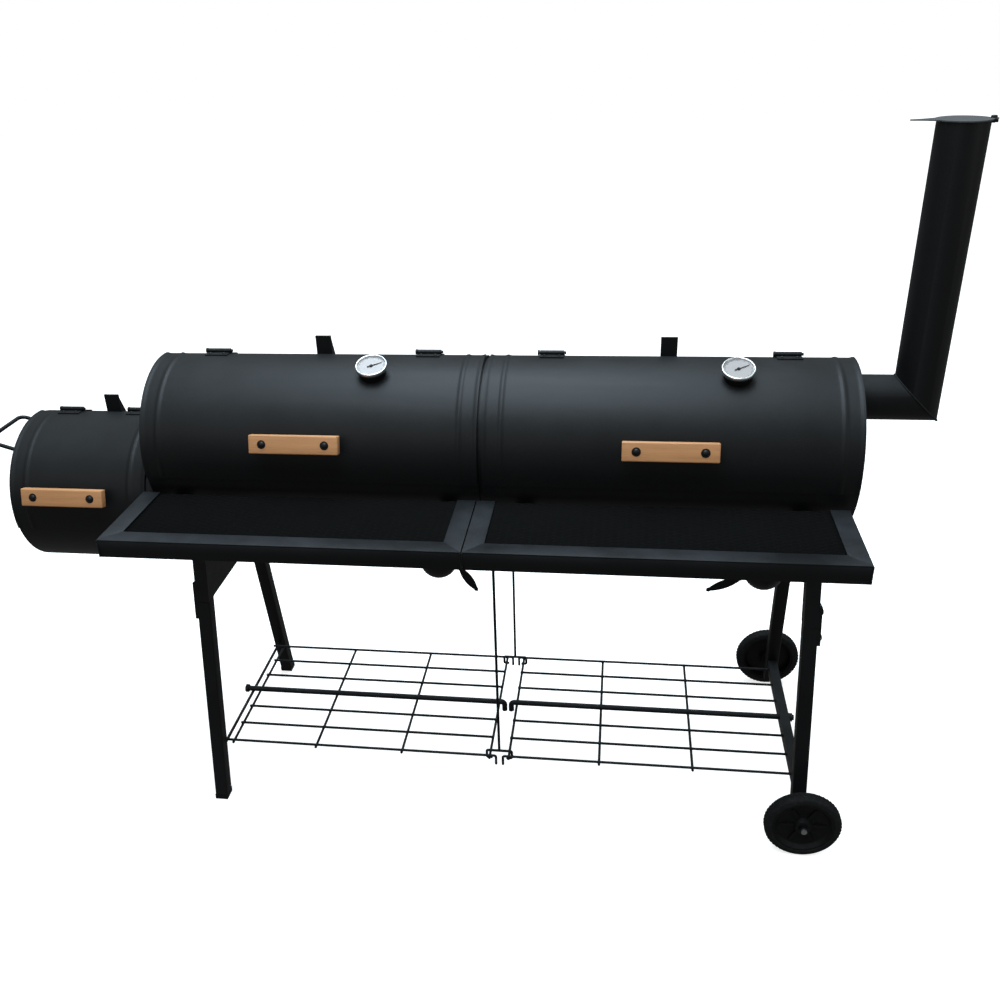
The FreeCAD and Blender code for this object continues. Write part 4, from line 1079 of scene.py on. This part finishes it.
@dataclass
class Chimney:
    """The mitred pipe with its weld, and the swivel cap."""

    shop: Workshop
    radius: float = 0.045
    wall: float = 0.0015
    sides: int = 72
    weld: float = 0.0021
    cap_radius: float = 0.048
    ear: float = 0.0085

    def build(self) -> None:
        """Builds and dresses every piece."""
        low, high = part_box("chimney_pipe")
        y, z, x = (low.y + high.y) / 2, low.z + self.radius, high.x - self.radius
        rings = []
        for radius, order in ((self.radius, (0, 1, 2)), (self.radius - self.wall, (2, 1, 0))):
            for stage in order:
                ring = []
                for k in range(self.sides):
                    turn = 2 * math.pi * k / self.sides
                    across, rise = math.sin(turn) * radius, math.cos(turn) * radius
                    ring.append(Vector(((low.x, x - rise, x - rise)[stage], y + across,
                                        (z + rise, z + rise, high.z)[stage])))
                rings.append(ring)
        blank = Blank()
        blank.loft(rings, closed=True)
        join_piece("chimney_tube", blank, Finish.BARREL, "frame", ["chimney_pipe"], 30)
        mitre, r = rings[1], self.radius + 0.0004
        root = [Vector((low.x + 0.003, y + r * math.sin(a), z + r * math.cos(a)))
                for a in (2 * math.pi * k / 60 for k in range(61))]
        self.shop.add_weld("chimney_welds", Finish.BARREL, [mitre + mitre[:1], root], self.weld,
                           "black_paint")
        self.build_cap(x, y)

    def build_cap(self, x: float, y: float) -> None:
        """A pressed plate with a leaf tab and a pivot ear."""
        low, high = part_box("chimney_cap")
        pivot, r = high.x - self.ear, self.cap_radius
        tab = [(low.x, 0.0025), (x - r - 0.020, 0.0085), (x - r - 0.005, 0.016)]
        ear = [(pivot + self.ear * math.sin(a), self.ear * math.cos(a))
               for a in (math.radians(t) for t in range(0, 91, 18))]
        start, stop = math.radians(15), math.radians(155)
        arc = [(x + r * math.cos(a), r * math.sin(a))
               for a in (start + (stop - start) * k / 30 for k in range(31))]
        side = list(reversed(ear)) + arc + list(reversed(tab))
        outline = [(px, y + py) for px, py in side] + [(px, y - py) for px, py in reversed(side)]
        blank = Blank()
        blank.prism([(px, py, low.z) for px, py in outline], (0, 0, high.z - low.z))
        join_piece("chimney_lid_plate", blank.soften(0.0006), Finish.CAP, "chimney_cap",
                   ["chimney_cap"], 30)


@dataclass
class FrontShelf:
    """One front shelf: mitred angle-iron frame and expanded metal."""

    shop: Workshop
    name: str
    leg: float = 0.038
    wall: float = 0.003
    weld: float = 0.0014
    pitch_x: float = 0.030
    pitch_y: float = 0.0125

    def build(self) -> None:
        """Builds and dresses every piece."""
        low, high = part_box(self.name + "_shelf_frame")
        blank, wall = Blank(), self.wall
        for width, bottom, top in ((self.leg, high.z - wall, high.z), (wall, low.z, high.z - wall)):
            for corners in self.rails(low, high, width):
                blank.prism([(x, y, bottom) for x, y in corners], (0, 0, top - bottom))
        blank.block((low.x + wall, high.y - wall, low.z), (high.x - wall, high.y, high.z - wall - 0.002))
        join_piece(self.name + "_shelf_rails", blank.soften(0.0007), Finish.FRAME, "frame",
                   [self.name + "_shelf_frame"])
        corners = [[Vector((x, low.y - 0.0002, z)) for z in (low.z + 0.001, high.z - 0.002)]
                   for x in (low.x + 0.0005, high.x - 0.0005)]
        self.shop.add_weld(self.name + "_shelf_welds", Finish.FRAME, corners, self.weld)
        self.build_mesh()

    @staticmethod
    def rails(low: Vector, high: Vector, width: float,
              gap: float = 0.00005) -> list[list[tuple[float, float]]]:
        """Front rail and two side rails of one width, mitred at the front corners."""
        front, inset = low.y + width, (low.x + width, high.x - width)
        return [[(low.x, low.y), (high.x, low.y), (inset[1], front), (inset[0], front)],
                [(low.x, low.y + gap), (inset[0], front + gap), (inset[0], high.y), (low.x, high.y)],
                [(high.x, low.y + gap), (high.x, high.y), (inset[1], high.y), (inset[1], front + gap)]]

    def build_mesh(self) -> None:
        """The expanded metal under the frame's top flanges."""
        low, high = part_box(self.name + "_shelf_mesh")
        columns = int((high.x - low.x - 0.004) / self.pitch_x - 0.5)
        rows = int((high.y - low.y) / self.pitch_y)
        left = (low.x + high.x - (columns + 0.5) * self.pitch_x) / 2
        mesh = self.shop.mesh.run(
            self.name + "_shelf_strands", Finish.MESH, columns=columns, rows=rows, pitch_x=self.pitch_x,
            pitch_y=self.pitch_y, corner=(left, high.y - rows * self.pitch_y, high.z - 0.0018), strand=0.0042,
            thickness=0.0016, tilt=0.95, bond=0.006)
        join_piece(self.name + "_shelf_strands", mesh, Finish.MESH, "frame",
                   [self.name + "_shelf_mesh"], 20)


@dataclass
class Stand:
    """The four splayed legs and their bolts."""

    shop: Workshop
    size: float = 0.030
    wall: float = 0.002
    corner: float = 0.0035

    def build(self) -> None:
        """Builds and dresses every piece."""
        for name in ("front_left_leg", "rear_left_leg", "front_right_leg", "rear_right_leg"):
            self.build_leg(name)
        self.build_bolts()

    @staticmethod
    def ring(place: Triple, size: float, corner: float, stretch: float) -> list[Vector]:
        """A rounded square, level, stretched along Y."""
        (x, y, z), points, flat = place, [], size / 2 - corner
        for way_x, way_y in ((1, 1), (-1, 1), (-1, -1), (1, -1)):
            for k in range(5):
                turn = math.atan2(way_y, way_x) - math.pi / 4 + k * math.pi / 8
                points.append(Vector((x + way_x * flat + corner * math.cos(turn),
                                      y + (way_y * flat + corner * math.sin(turn)) * stretch, z)))
        return points

    def build_leg(self, name: str) -> None:
        """A square tube with rounded edges on the leg's slanted line."""
        low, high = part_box(name)
        half = self.size / 2
        foot_x, top_x = high.x - half, low.x + half
        lean = math.atan((high.y - low.y - 2.035 * half) / (high.z - low.z))
        stretch = 1 / math.cos(lean)
        ends = [low.y + half * stretch, high.y - half * stretch]
        if "rear" in name:
            ends.reverse()
        foot, top = (foot_x, ends[0], low.z), (top_x, ends[1], high.z)
        inside = self.size - 2 * self.wall, self.corner - self.wall / 2
        blank = Blank()
        blank.loft([self.ring(place, self.size, self.corner, stretch) for place in (foot, top)]
                   + [self.ring(place, *inside, stretch) for place in (top, foot)], closed=True)
        join_piece(name + "_tube", blank, Finish.FRAME, "frame", [name])

    def build_bolts(self) -> None:
        """Domes over the plain CAD bolts of the splice plates."""
        heads = []
        for low, high in solids("frame_bolts"):
            if high.x - low.x > 0.015 and 0.4 < low.z < 0.6:
                side, (_, y, z) = -1 if low.x < 0 else 1, middle((low, high))
                seat = Vector(((low.x if side < 0 else high.x) - side * 0.0044, y, z))
                heads.append((seat, Vector((side, 0, 0)), (high.y - low.y) * 0.43, 0.0034))
        self.shop.add_heads("leg_bolt_heads", Finish.BLACK_BOLT, heads, "frame", "grip_bolt")


@dataclass
class Wheel:
    """A moulded wheel: dished disc with spokes and hub, ribbed tyre."""

    shop: Workshop
    name: str
    side: int
    rim: float = 0.064
    ribs: int = 52
    bore: float = 0.0062

    def build(self) -> None:
        """Builds and dresses every piece."""
        low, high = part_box(self.name + "_wheel_tyre")
        centre, half, axis = (low + high) / 2, (high.y - low.y) / 2, (0, self.side, 0)
        radius = (high.z - low.z) / 2
        seat = Matrix.Translation(centre) @ Vector(axis).to_track_quat("Z", "Y").to_matrix().to_4x4()
        body, r = self.name + "_wheel", radius - 0.0010
        blank = Blank()
        blank.lathe([(-half, self.rim), (-half, r - 0.006), (-half + 0.002, r - 0.0025), (-half + 0.006, r),
                     (half - 0.006, r), (half - 0.002, r - 0.0025), (half, r - 0.006),
                     (half, self.rim + 0.0015), (half - 0.0012, self.rim)], centre, axis, 96)
        join_piece(self.name + "_tyre_carcass", blank, Finish.TYRE, body, [body + "_tyre"])
        for row, offset, label in ((-1, 0.0, "inner"), (1, math.pi / self.ribs, "outer")):
            name = f"{self.name}_tread_{label}"
            mesh = self.shop.ring.run(name, Finish.TYRE, count=self.ribs, radius=radius - 0.0009,
                                      first=offset, length=0.0016, width=0.0050, height=half * 0.54,
                                      skew=0.28 * row)
            join_piece(name, mesh, Finish.TYRE, body,
                       place=seat @ Matrix.Translation((0, 0, row * half * 0.29)))
        blank, r = Blank(), self.rim - 0.0002
        blank.lathe([(-half + 0.002, r - 0.005), (-half + 0.002, r), (half - 0.0015, r),
                     (half - 0.001, r - 0.004), (half - 0.009, r - 0.011), (half - 0.013, 0.030),
                     (half - 0.011, 0.020), (half - 0.001, 0.0165), (half, 0.015), (half, self.bore),
                     (-half, self.bore), (-half, 0.015), (-half + 0.016, 0.017), (half - 0.017, 0.030),
                     (half - 0.014, r - 0.012), (half - 0.012, r - 0.005)], centre, axis, 96)
        join_piece(self.name + "_disc", blank, Finish.WHEEL, body, [body + "_rim"])
        mesh = self.shop.ring.run(self.name + "_spokes", Finish.WHEEL, count=6, radius=0.034, length=0.032,
                                  width=0.006, height=0.007)
        join_piece(self.name + "_spokes", mesh, Finish.WHEEL, body,
                   place=seat @ Matrix.Translation((0, 0, half - 0.0115)))


@dataclass
class WireRack:
    """One bottom shelf of welded wire."""

    shop: Workshop
    name: str
    radius: float = 0.003
    nugget: float = 0.0026
    bend: float = 0.005

    def build(self) -> None:
        """Builds the wires, the weld nuggets and the two hooked outer wires."""
        starts, spans, long_y, cross_x, hooks = [], [], [], [], Blank()
        for low, high in solids(self.name + "_wire_shelf"):
            size, centre = high - low, (low + high) / 2
            if size.z > 0.01:
                self.hook(hooks, low, high)
                long_y.append((centre.y, high.z - self.radius))
                continue
            lengthwise = size.x > size.y
            starts.append(Vector((low.x, centre.y, centre.z) if lengthwise else (centre.x, low.y, centre.z)))
            spans.append(Vector((size.x, 0, 0) if lengthwise else (0, size.y, 0)))
            if lengthwise:
                long_y.append((centre.y, centre.z))
            else:
                cross_x.append(centre.x)
        name = self.name + "_rack_"
        mesh = self.shop.wires.run(name + "wires", Finish.FRAME, points_mesh("spans", starts, span=spans),
                                   radius=self.radius)
        join_piece(name + "wires", mesh, Finish.FRAME, "frame", [self.name + "_wire_shelf"])
        join_piece(name + "hook", hooks, Finish.FRAME, "frame")
        spots = [[Vector((x + way * 0.0012, y, z - self.radius)) for way in (-1, 1)]
                 for x in cross_x for y, z in long_y]
        self.shop.add_weld(name + "nuggets", Finish.FRAME, spots, self.nugget)

    def hook(self, blank: Blank, low: Vector, high: Vector) -> None:
        """An outer wire, bent down at the end nearer the middle."""
        r = self.radius
        y, z = (low.y + high.y) / 2, high.z - r
        drop, start = (high.x - r, low.x) if self.name == "left" else (low.x + r, high.x)
        blank.sweep(rounded([(start, y, z), (drop, y, z), (drop, y, low.z)], self.bend), r)


@dataclass
class DripCup:
    """A pressed drip cup that swivels under its drain spout."""

    name: str
    radius: float = 0.044
    wall: float = 0.0015

    def arc(self, base: float, radius: float, turns: Iterable[int]) -> list[tuple[float, float]]:
        """A quarter of the bowl's outline, as (height, radius) points at angles in degrees."""
        return [(base - radius * math.cos(a), max(radius * math.sin(a), 0.0001))
                for a in map(math.radians, turns)]

    def build(self) -> None:
        """Builds and dresses the bowl."""
        low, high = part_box(self.name + "_drip_cup")
        centre, base, top = (low + high) / 2, low.z + self.radius, high.z
        r, inside = self.radius, self.radius - self.wall
        lip = [(top - 0.0014, r), (top - 0.0015, r + 0.0032), (top - 0.0007, r + 0.0035), (top, r + 0.0030),
               (top, inside + 0.0006), (top - 0.001, inside)]
        blank = Blank()
        blank.lathe(self.arc(base, r, range(0, 91, 9)) + lip + self.arc(base, inside, range(90, -1, -9)),
                    (centre.x, centre.y, 0), segments=56)
        join_piece(self.name + "_cup_bowl", blank, Finish.CUP, self.name + "_drip_cup",
                   [self.name + "_drip_cup"])


def dress_carried() -> None:
    """Gives every CAD node that stays in sight its own finish."""
    dress = {"black_paint": Finish.BARREL, "frame_paint": Finish.FRAME, "wood": Finish.WOOD,
             "bolt_steel": Finish.BOLT, "grip_bolt": Finish.BLACK_BOLT, "dial_case": Finish.BEZEL,
             "needle": Finish.NEEDLE, "cap_metal": Finish.CAP, "grate_iron": Finish.GRATE,
             "tyre": Finish.TYRE, "wheel_plastic": Finish.WHEEL, "cup_metal": Finish.CUP}
    for part in frame["record"]["subparts"]:
        node = frame["nodes"][part["node"]]
        node.data.materials.clear()
        node.data.materials.append(dress[part["material_slot"]].material)
        LOG.info("%s wears %s", part["node"], part["material_slot"])


# ------------------------------------------------------------------ studio

SKY = ((0.3, (0.17, 0.17, 0.17)), (1.0, (0.85, 0.97, 1.0)))
PANELS = (("sky_panel", (-0.1, 0.0, 3.6), (0.1, 0.0, 0.8), (3.4, 1.7), 130.0, (0.72, 0.87, 1.0)),
          ("front_panel", (-1.2, -3.4, 2.4), (0.2, -0.2, 0.7), (2.4, 1.6), 12.0, (1.0, 0.98, 0.95)),
          ("side_panel", (3.4, -1.6, 1.8), (0.4, 0.0, 0.7), (1.8, 1.8), 8.0, (1.0, 1.0, 1.0)))


@dataclass
class Studio:
    """Pale floor, soft lights and the camera."""

    eye: Triple = (0.37685, -1.9463, 1.6612)
    yaw: float = -8.73
    pitch: float = -27.15
    roll: float = -2.36
    lens: float = 35.94
    shift: tuple[float, float] = (0.0229, 0.0154)

    def build(self) -> None:
        """Sets up everything that isn't part of the smoker."""
        self.lay_floor()
        self.light_world()
        for panel in PANELS:
            self.add_light(*panel)
        self.add_camera()

    @staticmethod
    def lay_floor() -> None:
        """A wide pale floor."""
        blank = Blank()
        blank.block((-14, -14, -0.02), (14, 14, -0.0002))
        floor = bpy.data.objects.new("studio_floor", blank.mesh("studio_floor"))
        bpy.context.scene.collection.objects.link(floor)
        shader = Shader("studio_pale")
        cloud = shader.noise(0.8, 3.0)
        shader.set(Base_Color=shader.blend(cloud * 0.2, grey(0.86), grey(0.82)), Roughness=0.85,
                   Emission_Color=(1.0, 1.0, 1.0, 1.0), Emission_Strength=0.72)
        floor.data.materials.append(shader.material)
        floor.visible_diffuse = floor.visible_glossy = False

    @staticmethod
    def light_world() -> None:
        """White behind the smoker, and a soft sky that lights it from above only."""
        world = bpy.data.worlds.new("studio_air")
        bpy.context.scene.world = world
        world.use_nodes = True
        tree = world.node_tree
        back = next(node for node in tree.nodes if node.type == "BACKGROUND")
        coord, split, ramp, path, mix = (tree.nodes.new("ShaderNode" + kind) for kind in
                                         ("TexCoord", "SeparateXYZ", "ValToRGB", "LightPath", "Mix"))
        mix.data_type = "RGBA"
        for element, (place, shade) in zip(ramp.color_ramp.elements, SKY):
            element.position, element.color = place, (*shade, 1.0)
        tree.links.new(coord.outputs["Generated"], split.inputs[0])
        tree.links.new(split.outputs["Z"], ramp.inputs["Fac"])
        tree.links.new(path.outputs["Is Camera Ray"], mix.inputs[0])
        tree.links.new(ramp.outputs["Color"], mix.inputs[6])
        mix.inputs[7].default_value = (1.0, 1.0, 1.0, 1.0)
        tree.links.new(mix.outputs[2], back.inputs["Color"])
        bpy.context.scene.view_settings.view_transform = "Standard"

    @staticmethod
    def add_light(name: str, place: Triple, aim: Triple, size: tuple[float, float], power: float,
                  colour: Triple) -> None:
        """Adds a soft rectangular light.

        Args:
            name: Its name.
            place: Where it stands.
            aim: The point that it faces.
            size: Its width and height.
            power: Its power in watts.
            colour: Its colour.
        """
        data = bpy.data.lights.new(name, "AREA")
        data.shape = "RECTANGLE"
        data.size, data.size_y = size
        data.energy = power
        data.color = colour
        light = bpy.data.objects.new(name, data)
        light.location = place
        light.rotation_euler = (Vector(aim) - Vector(place)).to_track_quat("-Z", "Y").to_euler()
        bpy.context.scene.collection.objects.link(light)

    def add_camera(self) -> None:
        """Places the camera by its yaw, pitch and roll."""
        yaw, pitch, roll = (math.radians(v) for v in (self.yaw, self.pitch, self.roll))
        ahead = Vector((math.sin(yaw) * math.cos(pitch), math.cos(yaw) * math.cos(pitch), math.sin(pitch)))
        right = Vector((math.cos(yaw), -math.sin(yaw), 0))
        up = right.cross(ahead)
        across = right * math.cos(roll) + up * math.sin(roll)
        over = up * math.cos(roll) - right * math.sin(roll)
        data = bpy.data.cameras.new("studio_camera")
        data.lens, data.sensor_width = self.lens, 36.0
        data.shift_x, data.shift_y = self.shift
        camera = bpy.data.objects.new("studio_camera", data)
        turn = Matrix((across, over, -ahead)).transposed().to_4x4()
        camera.matrix_world = Matrix.Translation(self.eye) @ turn
        bpy.context.scene.collection.objects.link(camera)
        bpy.context.scene.camera = camera


def main() -> None:
    """Builds the whole smoker and its studio, in order."""
    logging.basicConfig(level=logging.INFO, format="%(name)s: %(message)s")
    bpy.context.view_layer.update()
    Studio().build()
    dress_carried()
    shop = Workshop.open()
    barrels = {name: Barrel.read(name, ends) for name, ends in
               (("firebox", "firebox_ends"), ("left", "left_chamber_ends"), ("right", "right_chamber_ends"))}
    for name, barrel in barrels.items():
        Lid(shop, barrel, name).build()
    for name in ("left", "right"):
        Thermometer(shop, barrels[name], name).build()
        FrontShelf(shop, name).build()
        WireRack(shop, name).build()
        DripCup(name).build()
    Chimney(shop).build()
    Stand(shop).build()
    Wheel(shop, "front", -1).build()
    Wheel(shop, "rear", 1).build()


if __name__ == "__main__":
    main()
